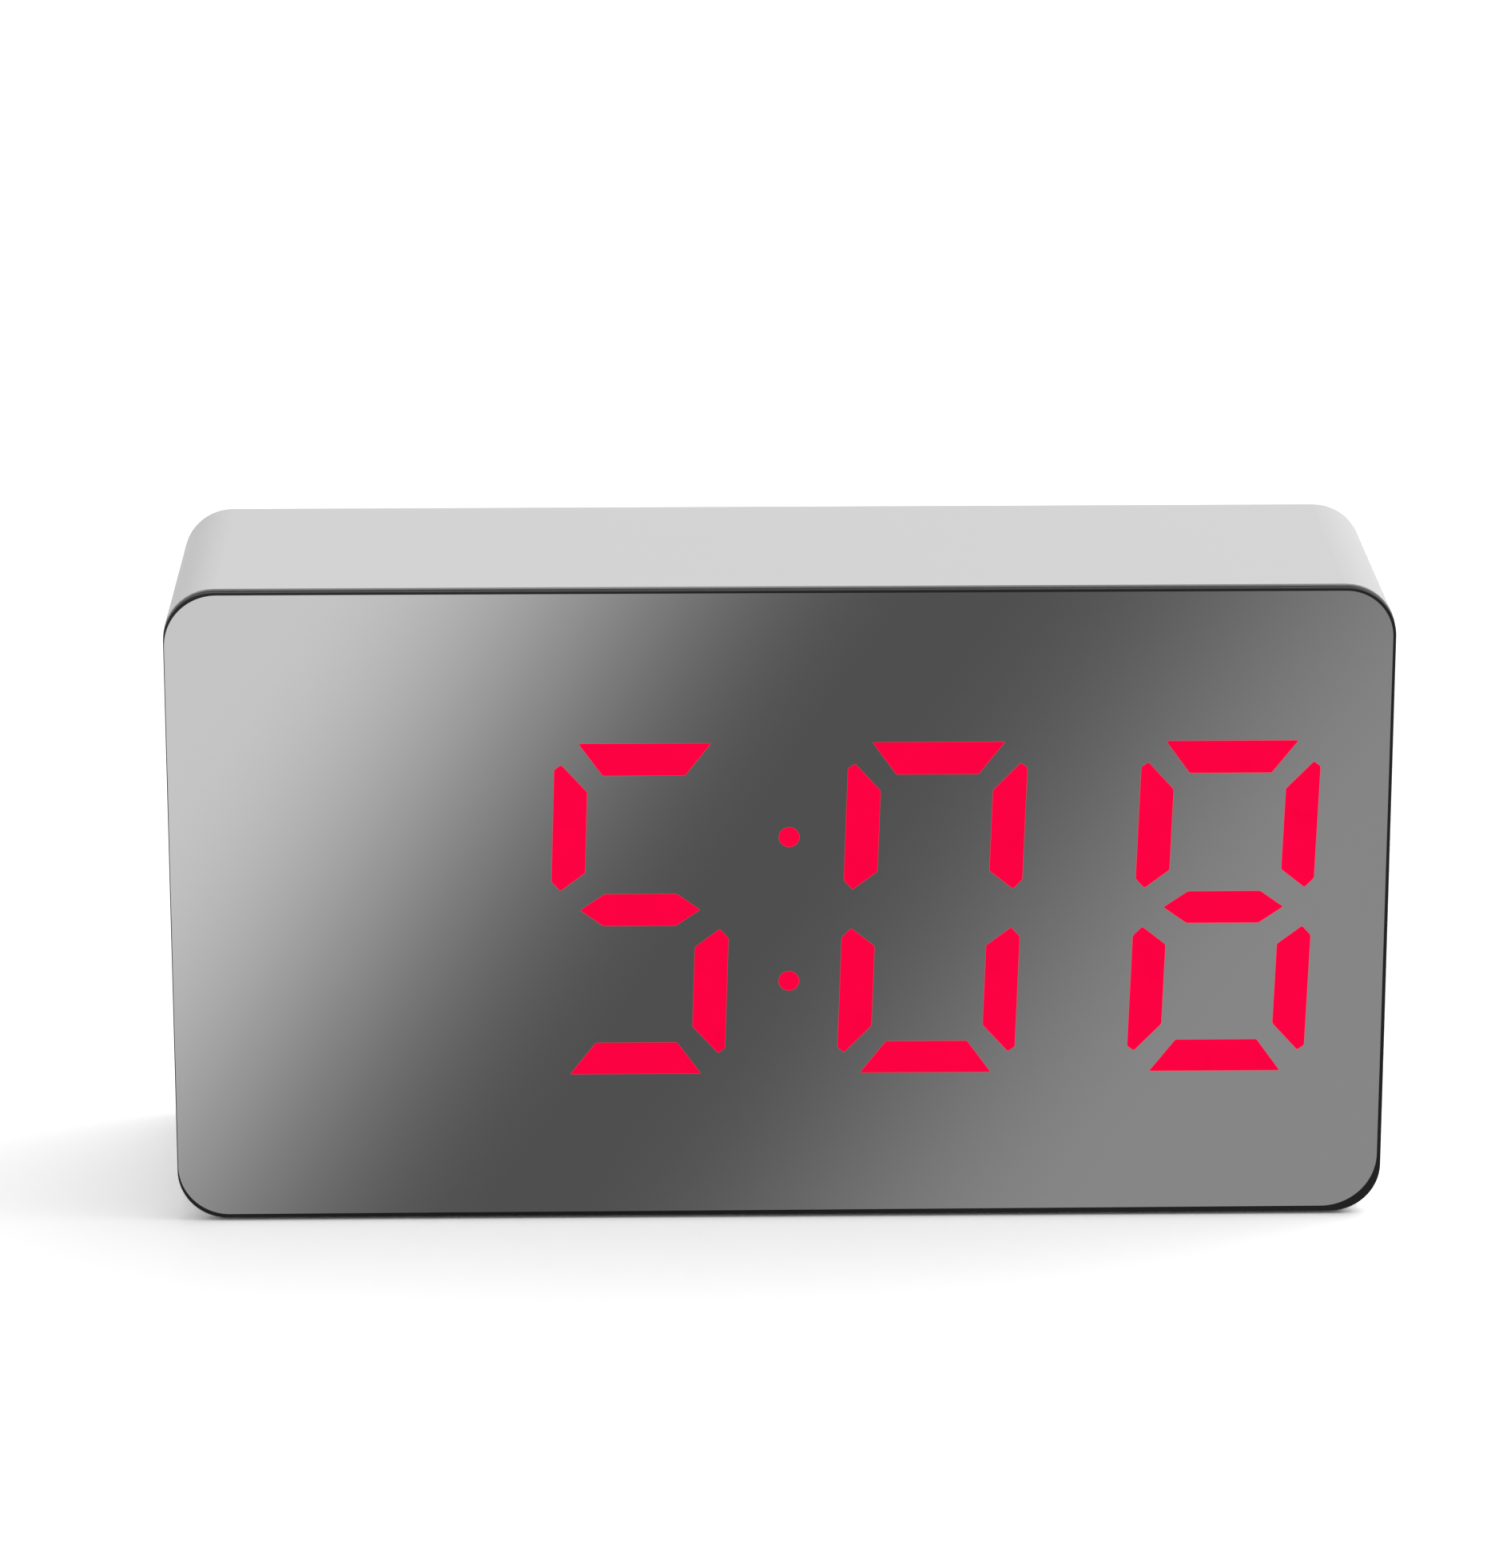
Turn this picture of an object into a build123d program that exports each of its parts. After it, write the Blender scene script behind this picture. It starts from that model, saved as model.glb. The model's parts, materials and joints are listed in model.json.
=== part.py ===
from build123d import *
import math
import os

# A desk clock with a half-mirror front: a white moulded case, open at the front and closed by
# a black frame in its rim, which carries the mirror and the digit display. The back has a row
# of buttons, a power inlet, sound holes and the battery door. All sizes are in millimetres.
# The origin is on the table under the middle of the clock, +Z is up and the mirror faces -Y.

# Case
WIDTH = 105.0
HEIGHT = 56.6
DEPTH = 29.0
CORNER_RADIUS = 4.4
WALL = 1.9
BACK_WALL = 2.4
BACK_EDGE_RADIUS = 0.8
RIM_WIDTH = 0.9

# Rubber feet
FOOT_LIFT = 0.2
FOOT_SINK = 0.6
FOOT_DIAMETER = 8.0
FOOT_INSET_X = 10.0
FOOT_INSET_Y = 5.6

# Clearances
FIT_GAP = 0.15
SLIDE_GAP = 0.25
THREAD_GAP = 0.05
LENS_GAP = 0.05
TOUCH_GAP = 0.05

# Mirror, its tape and the black front frame
MIRROR_THICKNESS = 0.8
MIRROR_EDGE = 0.06
MIRROR_TRIM_X = 0.1
MIRROR_TRIM_Z = 0.2
MIRROR_DROP = 0.05
TAPE_THICKNESS = 0.15
TAPE_WIDTH = 2.6
TAPE_EDGE = 0.2
FLANGE_THICKNESS = 0.7
PLATE_THICKNESS = 1.8

# Digits, drawn upright about their middle and then leaned
DIGIT_COUNT = 4
DIGIT_SPACE = 9.83
DIGIT_MARGIN_X = 7.15
DIGIT_MARGIN_Z = 13.4
DIGIT_LEAN = 1.8
DISPLAY_SHIFT_X = 0.5
DISPLAY_SHIFT_Z = -0.25
SEGMENT_WIDTH = 2.8
BAR_TIP = 2.05
BAR_HEEL = 1.35
POST_TIP_SIDE = 0.55
POST_TIP_DROP = 1.9
POST_SHOULDER = 0.4
POST_HEEL = 1.5
WAIST_TIP = 1.8
WAIST_TIP_SIDE = 0.75
WAIST_SHOULDER = 0.8
WAIST_HEEL = 1.6
BRIDGE_GAP = 1.15
BRIDGE_POINT = 2.0
COLON_DIAMETER = 1.7
COLON_RISE = 6.5
COLON_SHIFT_X = 0.25
LENS_THICKNESS = 1.5
LIT_SEGMENTS = ("", "acdfg", "abcdef", "abcdefg")

# Light box and display board
REFLECTOR_MARGIN = 1.6
THROAT_SHARE = 0.62
COLON_CAVITY = 2.6
BOARD_THICKNESS = 1.2
BOARD_MARGIN = 0.4
LED_LENGTH = 1.6
LED_WIDTH = 0.8
LED_HEIGHT = 0.7
PART_GAP = 0.6
BOARD_POST_DIAMETER = 4.0
BOARD_POST_INSET = 6.5
DRIVER_WIDTH = 10.0
DRIVER_HEIGHT = 5.0
DRIVER_THICKNESS = 1.6
DRIVER_DROP = 8.0
LEG_COUNT = 8
LEG_PITCH = 1.2
LEG_WIDTH = 0.45
LEG_REACH = 1.0
LEG_THICKNESS = 0.25
CRYSTAL_DIAMETER = 2.0
CRYSTAL_LENGTH = 6.0
CRYSTAL_X = 13.0
RESISTOR_COUNT = 8
RESISTOR_PITCH = 3.2
RESISTOR_LENGTH = 1.6
RESISTOR_WIDTH = 0.8
RESISTOR_HEIGHT = 0.5
RESISTOR_RISE = 6.0

# Screws
CASE_SCREW_INSET_X = 7.0
CASE_SCREW_INSET_Z = 6.5
CASE_SCREW_HEAD = 4.0
CASE_SCREW_HEAD_HEIGHT = 1.4
CASE_SCREW_SHANK = 2.2
CASE_SCREW_LENGTH = 9.0
CASE_SCREW_FLOOR = 2.0
CASE_POST_DIAMETER = 5.5
CASE_BOSS_WALL = 1.0
CASE_BOSS_LENGTH = 7.0
BOARD_SCREW_HEAD = 3.2
BOARD_SCREW_HEAD_HEIGHT = 1.1
BOARD_SCREW_SHANK = 1.7
CONTROL_SCREW_LENGTH = 4.6
SCREW_TIP_ROOM = 0.6
FRONT_SKIN = 1.0
HEAD_TAPER = 15.0
SCREW_SIDES = 16
CROSS_WIDTH = 0.55
CROSS_SHARE = 0.6

# Control panel in the back wall and its board
CONTROL_DROP = 8.2
PANEL_RECESS = 0.8
PANEL_HEIGHT = 9.4
PANEL_RADIUS = 2.0
PANEL_END = 5.0
PANEL_SIDE_GAP = 1.25
PANEL_DOOR_GAP = 2.0
CONTROL_HEIGHT = 10.0
BUTTON_NAMES = ("mode", "set", "up", "down")
BUTTON_DIAMETER = 6.0
BUTTON_PROUD = 0.6
BUTTON_EDGE = 0.35
BUTTON_TRAVEL = 0.3
COLLAR_DIAMETER = 8.0
COLLAR_THICKNESS = 0.8
COLLAR_GAP = 0.1
SWITCH_SIDE = 6.0
SWITCH_HEIGHT = 3.4
SWITCH_EDGE = 0.4
PLUNGER_DIAMETER = 3.2
PLUNGER_PROUD = 0.8
PLUNGER_GRIP = 1.0
PLUNGER_GAP = 0.1
STANDOFF_STEP = 6.5
STANDOFF_DIAMETER = 4.2
END_ITEM_STEP = 7.5

# Power inlet and buzzer at the two ends of the control board
INLET_WIDTH = 7.5
INLET_HEIGHT = 2.7
INLET_CHAMFER = 0.9
INLET_WALL = 0.3
INLET_SINK = 0.1
TONGUE_WIDTH = 3.7
TONGUE_THICKNESS = 0.6
TONGUE_SINK = 1.0
INLET_CORE = 1.5
BUZZER_DIAMETER = 9.0
BUZZER_HEIGHT = 4.0
BUZZER_MOUTH = 2.0
BUZZER_MOUTH_DEPTH = 1.2
SOUND_HOLE = 1.1
SOUND_PITCH = 2.2
SOUND_COUNT = 6
CAPACITOR_DIAMETER = 5.0
CAPACITOR_LENGTH = 6.0
CAPACITOR_X = 12.0
CAPACITOR_EDGE = 0.4

# Battery bay, cells and contacts
CELL_DIAMETER = 10.3
CELL_LENGTH = 44.5
CELL_NIPPLE = 3.8
CELL_NIPPLE_LENGTH = 0.9
CELL_EDGE = 0.4
CELL_GAP = 0.5
BAY_WALL = 1.2
BAY_FLOOR = 1.2
CONTACT_THICKNESS = 0.4
CONTACT_SIDE = 8.0
CONTACT_BUMP = 3.0
CONTACT_BUMP_HEIGHT = 0.6
SPRING_SPACE = 4.0
SPRING_WIRE = 0.6
SPRING_TURNS = 3
SPRING_STEPS = 3
SPRING_BASE = 6.6
SPRING_TIP = 4.6
TAB_WIDTH = 2.5
TAB_REACH = 2.0
TAB_LIFT = 1.9
TAB_STEP = 2.0

# Battery door
DOOR_THICKNESS = 1.6
DOOR_LAP = 1.6
DOOR_RADIUS = 1.5
DOOR_SEAT_GAP = 0.15
TRUNNION_DIAMETER = 0.9
TRUNNION_LENGTH = 1.2
TRUNNION_GAP = 0.06
RIB_HEIGHT = 0.9
RIB_WIDTH = 1.2
RIB_SPREAD = 15.0
RIB_LIFT = 6.0
RIB_TOP_GAP = 4.0
PULL_WIDTH = 16.0
PULL_HEIGHT = 4.0
PULL_DEPTH = 0.7
PULL_DROP = 2.2

# Wires inside the case
WIRE_SIDES = 5
LEAD_DIAMETER = 1.2
LEAD_OUT = 2.6
RED_LEAD_EDGE = 2.2
BLACK_LEAD_EDGE = 0.7
LEAD_BEND = 1.8
LEAD_END_BEND = 1.0
RIBBON_WIDTH = 8.0
RIBBON_THICKNESS = 0.9
RIBBON_BEND = 2.5
RIBBON_EDGE = 2.4

# Depths from the mirror to the back
MIRROR_FACE = -DEPTH / 2
TAPE_FACE = MIRROR_FACE + MIRROR_THICKNESS
FRAME_FACE = TAPE_FACE + TAPE_THICKNESS
CASE_FACE = TAPE_FACE + TOUCH_GAP
FLANGE_BACK = FRAME_FACE + FLANGE_THICKNESS
PLATE_BACK = FRAME_FACE + PLATE_THICKNESS
BACK = DEPTH / 2
BACK_INSIDE = BACK - BACK_WALL
PANEL_FLOOR = BACK - PANEL_RECESS
COLLAR_BACK = BACK_INSIDE - COLLAR_GAP
COLLAR_FACE = COLLAR_BACK - COLLAR_THICKNESS
SWITCH_BACK = COLLAR_FACE - PLUNGER_PROUD
CONTROL_BACK = SWITCH_BACK - SWITCH_HEIGHT
CONTROL_FACE = CONTROL_BACK - BOARD_THICKNESS
BOSS_FACE = BACK_INSIDE - CASE_BOSS_LENGTH
CASE_SCREW_SEAT = BOSS_FACE + CASE_SCREW_FLOOR
DOOR_INSIDE = BACK - DOOR_THICKNESS
CELL_Y = DOOR_INSIDE - RIB_HEIGHT - CELL_GAP - CELL_DIAMETER / 2
BAY_INSIDE = CELL_Y - CELL_DIAMETER / 2 - CELL_GAP
BAY_FACE = BAY_INSIDE - BAY_FLOOR
BOARD_BACK = BAY_FACE - PART_GAP - max(CRYSTAL_DIAMETER, DRIVER_THICKNESS)
BOARD_FACE = BOARD_BACK - BOARD_THICKNESS
BOARD_PILOT_END = FRAME_FACE + FRONT_SKIN
DISPLAY_SCREW_LENGTH = BOARD_BACK - BOARD_PILOT_END - SCREW_TIP_ROOM

# Heights
CASE_BOTTOM = FOOT_LIFT
CASE_TOP = CASE_BOTTOM + HEIGHT
CASE_MIDDLE = CASE_BOTTOM + HEIGHT / 2
DISPLAY_Z = CASE_MIDDLE + DISPLAY_SHIFT_Z
CONTROL_Z = CASE_TOP - CONTROL_DROP
CELL_PITCH = CELL_DIAMETER + CELL_GAP
BAY_BOTTOM = CASE_BOTTOM + WALL + BAY_WALL
BAY_LIMIT = CONTROL_Z - CONTROL_HEIGHT / 2 - PANEL_DOOR_GAP - DOOR_LAP
CELL_COUNT = int((BAY_LIMIT - BAY_BOTTOM - CELL_GAP) // CELL_PITCH)
BAY_HEIGHT = CELL_COUNT * CELL_PITCH + CELL_GAP
BAY_Z = BAY_BOTTOM + BAY_HEIGHT / 2
DOOR_BOTTOM = BAY_BOTTOM - DOOR_LAP
DOOR_TOP = BAY_BOTTOM + BAY_HEIGHT + DOOR_LAP
HINGE_Y = BACK - DOOR_THICKNESS / 2
HINGE_Z = DOOR_BOTTOM + DOOR_THICKNESS / 2

# Widths and places across
DIGIT_HEIGHT = HEIGHT - 2 * DIGIT_MARGIN_Z
DIGIT_ROOM = WIDTH - 2 * DIGIT_MARGIN_X - (DIGIT_COUNT - 1) * DIGIT_SPACE
DIGIT_WIDTH = DIGIT_ROOM / DIGIT_COUNT
DIGIT_PITCH = DIGIT_WIDTH + DIGIT_SPACE
LEAN = math.tan(math.radians(DIGIT_LEAN))
LEAN_REACH = LEAN * DIGIT_HEIGHT / 2
DISPLAY_WIDTH = (DIGIT_COUNT - 1) * DIGIT_PITCH + DIGIT_WIDTH + 2 * LEAN_REACH
REFLECTOR_WIDTH = DISPLAY_WIDTH + 2 * REFLECTOR_MARGIN
REFLECTOR_HEIGHT = DIGIT_HEIGHT + 2 * REFLECTOR_MARGIN
CONTACT_STACK = CONTACT_THICKNESS + TOUCH_GAP
POSITIVE_STACK = CONTACT_STACK + CONTACT_BUMP_HEIGHT + TOUCH_GAP
BAY_LENGTH = CONTACT_STACK + SPRING_SPACE + CELL_LENGTH + POSITIVE_STACK
DOOR_WIDTH = BAY_LENGTH + 2 * DOOR_LAP
CASE_SCREW_X = WIDTH / 2 - CASE_SCREW_INSET_X
CASE_SCREW_RISE = HEIGHT / 2 - CASE_SCREW_INSET_Z
CASE_HEAD_WELL = CASE_SCREW_HEAD + 2 * SLIDE_GAP
CASE_BOSS = CASE_HEAD_WELL + 2 * CASE_BOSS_WALL
PANEL_WIDTH = 2 * (CASE_SCREW_X - CASE_BOSS / 2 - PANEL_SIDE_GAP)
END_ITEM_X = PANEL_WIDTH / 2 - PANEL_END
STANDOFF_X = END_ITEM_X - END_ITEM_STEP
BUTTON_ROW = STANDOFF_X - STANDOFF_STEP
BUTTON_PITCH = 2 * BUTTON_ROW / (len(BUTTON_NAMES) - 1)
INLET_BACK = PANEL_FLOOR - INLET_SINK


# Drawing helpers


def across(depth):
    """Plane across the clock at a depth, drawn with X to the right and Z up."""
    return Plane(origin=(0, depth, 0), x_dir=(1, 0, 0), z_dir=(0, -1, 0))


def slab(outline, face, back):
    """Solid of an outline, from one depth to a greater one."""
    return extrude(across(back) * outline, amount=back - face, dir=(0, -1, 0))


def box_outline(x, z, width, height):
    return Pos(x, z) * Rectangle(width, height)


def soft_outline(x, z, width, height, radius):
    return Pos(x, z) * RectangleRounded(width, height, radius)


def disc(x, z, diameter):
    return Pos(x, z) * Circle(diameter / 2)


def rod(x_start, x_end, depth, z, diameter):
    """Round bar along X."""
    middle = (x_start + x_end) / 2
    return Pos(middle, depth, z) * Rot(0, 90, 0) * Cylinder(diameter / 2, abs(x_end - x_start))


def wire_section(diameter):
    """Section of a thin wire, drawn with a few sides."""
    return RegularPolygon(diameter / 2, WIRE_SIDES)


def corner_places(x, rise):
    """Four places left and right of the middle, below and above the case's middle height."""
    return [(side * x, CASE_MIDDLE + level * rise) for side in (-1, 1) for level in (-1, 1)]


def case_outline(inset):
    """The case's rounded outline, drawn in by an inset."""
    radius = max(CORNER_RADIUS - inset, CORNER_RADIUS / 4)
    return soft_outline(0, CASE_MIDDLE, WIDTH - 2 * inset, HEIGHT - 2 * inset, radius)


def screw(head, head_height, shank, length):
    """Pan-head screw seated at y = 0, its head towards +Y, drawn with a few sides."""
    rim = across(0) * RegularPolygon(head / 2, SCREW_SIDES)
    top = extrude(rim, amount=head_height, dir=(0, 1, 0), taper=HEAD_TAPER)
    slot_depth = head_height * (1 - CROSS_SHARE)
    slot_length = head * CROSS_SHARE
    for width, height in ((slot_length, CROSS_WIDTH), (CROSS_WIDTH, slot_length)):
        top -= slab(Rectangle(width, height), slot_depth, head_height)
    return top + slab(RegularPolygon(shank / 2, SCREW_SIDES), -length, 0)


def board_screw(length):
    return screw(BOARD_SCREW_HEAD, BOARD_SCREW_HEAD_HEIGHT, BOARD_SCREW_SHANK, length)


# Places


def digit_x(index):
    """Middle of a digit, counted from the left."""
    return DISPLAY_SHIFT_X + (index - (DIGIT_COUNT - 1) / 2) * DIGIT_PITCH


def board_post_places():
    """Screw posts of the display board, in the gaps beside the two middle digits."""
    rise = REFLECTOR_HEIGHT / 2 - BOARD_POST_INSET
    return [
        (DISPLAY_SHIFT_X + side * DIGIT_PITCH, DISPLAY_Z + level * rise)
        for side in (-1, 1)
        for level in (-1, 1)
    ]


def colon_places():
    x = DISPLAY_SHIFT_X + COLON_SHIFT_X
    return [(x, DISPLAY_Z + level * COLON_RISE) for level in (-1, 1)]


def button_x(index):
    return index * BUTTON_PITCH - BUTTON_ROW


def cell_z(index):
    """Height of a cell, counted from the top one."""
    return BAY_BOTTOM + CELL_GAP + CELL_DIAMETER / 2 + (CELL_COUNT - 1 - index) * CELL_PITCH


def positive_side(index):
    """+1 where a cell's positive end points to +X. The cells alternate."""
    return 1 if index % 2 == 0 else -1


# Display segments


def upright_segments():
    """Corners of the seven segments about the digit's middle, by letter."""
    side = DIGIT_WIDTH / 2
    top = DIGIT_HEIGHT / 2
    inner = side - SEGMENT_WIDTH
    half = SEGMENT_WIDTH / 2
    bridge = side - half - BRIDGE_GAP
    shoulder = bridge - BRIDGE_POINT
    bar = [
        (-side + BAR_TIP, top),
        (side - BAR_TIP, top),
        (inner - BAR_HEEL, top - SEGMENT_WIDTH),
        (-inner + BAR_HEEL, top - SEGMENT_WIDTH),
    ]
    post = [
        (side, top - POST_TIP_DROP - POST_SHOULDER),
        (side - POST_TIP_SIDE, top - POST_TIP_DROP),
        (inner, top - SEGMENT_WIDTH - POST_HEEL),
        (inner, WAIST_TIP + WAIST_HEEL),
        (side - WAIST_TIP_SIDE, WAIST_TIP),
        (side, WAIST_TIP + WAIST_SHOULDER),
    ]
    bridge_bar = [
        (-bridge, 0),
        (-shoulder, half),
        (shoulder, half),
        (bridge, 0),
        (shoulder, -half),
        (-shoulder, -half),
    ]
    return {
        "a": bar,
        "b": post,
        "c": [(x, -z) for x, z in post],
        "d": [(x, -z) for x, z in bar],
        "e": [(-x, -z) for x, z in post],
        "f": [(-x, z) for x, z in post],
        "g": bridge_bar,
    }


def leaned(points, x):
    """Segment corners leaned to the right and set at a digit's place."""
    return [(x + px + pz * LEAN, DISPLAY_Z + pz) for px, pz in points]


def middle_of(points):
    count = len(points)
    return (sum(p[0] for p in points) / count, sum(p[1] for p in points) / count)


def drawn_towards(points, share):
    """The same outline, smaller, about its middle."""
    mx, mz = middle_of(points)
    return [(mx + (x - mx) * share, mz + (z - mz) * share) for x, z in points]


SEGMENTS = {
    (index, letter): leaned(points, digit_x(index))
    for index in range(DIGIT_COUNT)
    for letter, points in upright_segments().items()
}


def segment_face(points):
    return Polygon(*points, align=None)


def segment_lens(points):
    """Milky insert that fills a segment's window, flush with the frame's front."""
    outline = offset(segment_face(points), -LENS_GAP, kind=Kind.INTERSECTION)
    return slab(outline, FRAME_FACE, FRAME_FACE + LENS_THICKNESS)


def segment_cavity(points):
    """Funnel with flat walls from a segment's window down to its lamp."""
    wide = [(x, PLATE_BACK, z) for x, z in points]
    throat = [(x, BOARD_FACE, z) for x, z in drawn_towards(points, THROAT_SHARE)]
    outlines = [wide, throat]
    outlines += zip(wide, wide[1:] + wide[:1], throat[1:] + throat[:1], throat)
    walls = [Face(Wire.make_polygon(corners, close=True)) for corners in outlines]
    return Solid(Shell(walls))


# Front group


def mirror_panel():
    """Thin panel that covers the whole front, the case's rim included."""
    outline = soft_outline(
        0,
        CASE_MIDDLE - MIRROR_DROP,
        WIDTH - MIRROR_TRIM_X,
        HEIGHT - MIRROR_TRIM_Z,
        CORNER_RADIUS - MIRROR_TRIM_Z / 2,
    )
    panel = slab(outline, MIRROR_FACE, TAPE_FACE)
    return chamfer(panel.edges().group_by(Axis.Y)[0], MIRROR_EDGE)


def mirror_tape():
    """Black adhesive ring that bonds the mirror to the frame, inside the case's rim."""
    inset = RIM_WIDTH + FIT_GAP + TAPE_EDGE
    hole_width = WIDTH - 2 * (inset + TAPE_WIDTH)
    hole_height = HEIGHT - 2 * (inset + TAPE_WIDTH)
    hole = box_outline(0, CASE_MIDDLE, hole_width, hole_height)
    return slab(case_outline(inset) - hole, TAPE_FACE, FRAME_FACE)


def front_frame():
    """Black plate with the segment windows, its flange in the case's rim and its screw posts."""
    frame = slab(case_outline(RIM_WIDTH + FIT_GAP), FRAME_FACE, FLANGE_BACK)
    frame += slab(case_outline(WALL + FIT_GAP), FLANGE_BACK, PLATE_BACK)
    post_end = BOSS_FACE - TOUCH_GAP
    pilot_end = CASE_SCREW_SEAT - CASE_SCREW_LENGTH - SCREW_TIP_ROOM
    for x, z in corner_places(CASE_SCREW_X, CASE_SCREW_RISE):
        frame += slab(disc(x, z, CASE_POST_DIAMETER), PLATE_BACK, post_end)
        frame -= slab(disc(x, z, CASE_SCREW_SHANK + 2 * THREAD_GAP), pilot_end, post_end)
    for x, z in board_post_places():
        frame += slab(disc(x, z, BOARD_POST_DIAMETER), PLATE_BACK, BOARD_FACE)
        pilot = disc(x, z, BOARD_SCREW_SHANK + 2 * THREAD_GAP)
        frame -= slab(pilot, BOARD_PILOT_END, BOARD_FACE)
    windows = [slab(segment_face(points), FRAME_FACE, PLATE_BACK) for points in SEGMENTS.values()]
    for x, z in colon_places():
        windows.append(slab(disc(x, z, COLON_DIAMETER), FRAME_FACE, PLATE_BACK))
    return frame - windows


def reflector():
    """White light box: one funnel for each segment and a bore for each colon dot."""
    outline = box_outline(DISPLAY_SHIFT_X, DISPLAY_Z, REFLECTOR_WIDTH, REFLECTOR_HEIGHT)
    block = slab(outline, PLATE_BACK, BOARD_FACE)
    cuts = [segment_cavity(points) for points in SEGMENTS.values()]
    for x, z in colon_places():
        cuts.append(slab(disc(x, z, COLON_CAVITY), PLATE_BACK, BOARD_FACE))
    for x, z in board_post_places():
        cuts.append(slab(disc(x, z, BOARD_POST_DIAMETER + 2 * FIT_GAP), PLATE_BACK, BOARD_FACE))
    return block - cuts


def digit_lenses(index, lit):
    """Lenses of one digit that are lit, or those that are dark."""
    letters = [c for c in upright_segments() if (c in LIT_SEGMENTS[index]) == lit]
    return Compound([segment_lens(SEGMENTS[(index, c)]) for c in letters])


def colon_dots():
    back = FRAME_FACE + LENS_THICKNESS
    size = COLON_DIAMETER - 2 * LENS_GAP
    return Compound([slab(disc(x, z, size), FRAME_FACE, back) for x, z in colon_places()])


# Display board and what is soldered to it


def display_board():
    width = REFLECTOR_WIDTH + 2 * BOARD_MARGIN
    height = REFLECTOR_HEIGHT + 2 * BOARD_MARGIN
    board = slab(box_outline(DISPLAY_SHIFT_X, DISPLAY_Z, width, height), BOARD_FACE, BOARD_BACK)
    for x, z in board_post_places():
        board -= slab(disc(x, z, BOARD_SCREW_SHANK + 2 * FIT_GAP), BOARD_FACE, BOARD_BACK)
    return board


def led_chips():
    """One lamp behind each segment, lying along it, and one behind each dot."""
    chips = []
    for (index, letter), points in SEGMENTS.items():
        flat = letter in "adg"
        width = LED_LENGTH if flat else LED_WIDTH
        height = LED_WIDTH if flat else LED_LENGTH
        x, z = middle_of(points)
        chips.append(slab(box_outline(x, z, width, height), BOARD_FACE - LED_HEIGHT, BOARD_FACE))
    for x, z in colon_places():
        outline = box_outline(x, z, LED_LENGTH, LED_WIDTH)
        chips.append(slab(outline, BOARD_FACE - LED_HEIGHT, BOARD_FACE))
    return Compound(chips)


def display_driver():
    """Flat control chip with a row of legs along its top and bottom."""
    x = DISPLAY_SHIFT_X
    z = DISPLAY_Z - DRIVER_DROP
    back = BOARD_BACK + DRIVER_THICKNESS
    chip = slab(box_outline(x, z, DRIVER_WIDTH, DRIVER_HEIGHT), BOARD_BACK + LEG_THICKNESS, back)
    span = DRIVER_HEIGHT + 2 * LEG_REACH
    for leg in range(LEG_COUNT):
        leg_x = x + (leg - (LEG_COUNT - 1) / 2) * LEG_PITCH
        strip = box_outline(leg_x, z, LEG_WIDTH, span)
        chip += slab(strip, BOARD_BACK, BOARD_BACK + LEG_THICKNESS)
    return chip


def crystal():
    y = BOARD_BACK + CRYSTAL_DIAMETER / 2
    z = DISPLAY_Z - DRIVER_DROP
    x = DISPLAY_SHIFT_X + CRYSTAL_X
    return rod(x - CRYSTAL_LENGTH / 2, x + CRYSTAL_LENGTH / 2, y, z, CRYSTAL_DIAMETER)


def chip_resistors():
    chips = []
    z = DISPLAY_Z + RESISTOR_RISE
    for index in range(RESISTOR_COUNT):
        x = DISPLAY_SHIFT_X + (index - (RESISTOR_COUNT - 1) / 2) * RESISTOR_PITCH
        outline = box_outline(x, z, RESISTOR_WIDTH, RESISTOR_LENGTH)
        chips.append(slab(outline, BOARD_BACK, BOARD_BACK + RESISTOR_HEIGHT))
    return Compound(chips)


def display_screws():
    one = board_screw(DISPLAY_SCREW_LENGTH)
    return Compound([Pos(x, BOARD_BACK, z) * one for x, z in board_post_places()])


# Case


def inlet_outline(grow):
    """D-shaped outline of the power inlet, with its two lower corners cut."""
    half = INLET_WIDTH / 2 + grow
    top = INLET_HEIGHT / 2 + grow
    cut = INLET_CHAMFER
    points = [(-half, top), (half, top), (half, cut - top), (half - cut, -top)]
    points += [(cut - half, -top), (-half, cut - top)]
    return Pos(END_ITEM_X, CONTROL_Z) * Polygon(*points, align=None)


def sound_hole_places():
    """A middle hole and a ring of holes over the buzzer."""
    places = [(-END_ITEM_X, CONTROL_Z)]
    for index in range(SOUND_COUNT):
        angle = math.tau * index / SOUND_COUNT
        x = -END_ITEM_X + SOUND_PITCH * math.cos(angle)
        places.append((x, CONTROL_Z + SOUND_PITCH * math.sin(angle)))
    return places


def door_outline(grow):
    """The battery door, square below at its hinge and rounded above."""
    width = DOOR_WIDTH + 2 * grow
    low = DOOR_BOTTOM - grow
    high = DOOR_TOP + grow
    plate = box_outline(0, (low + high) / 2, width, high - low)
    return fillet(plate.vertices().group_by(Axis.Y)[-1], DOOR_RADIUS + grow)


def battery_ends():
    """Side, depth and height of the tabs that feed the leads, the positive one first."""
    last = CELL_COUNT - 1
    y = BAY_INSIDE + TAB_LIFT
    return [(positive_side(0), y, cell_z(0)), (-positive_side(last), y + TAB_STEP, cell_z(last))]


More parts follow.
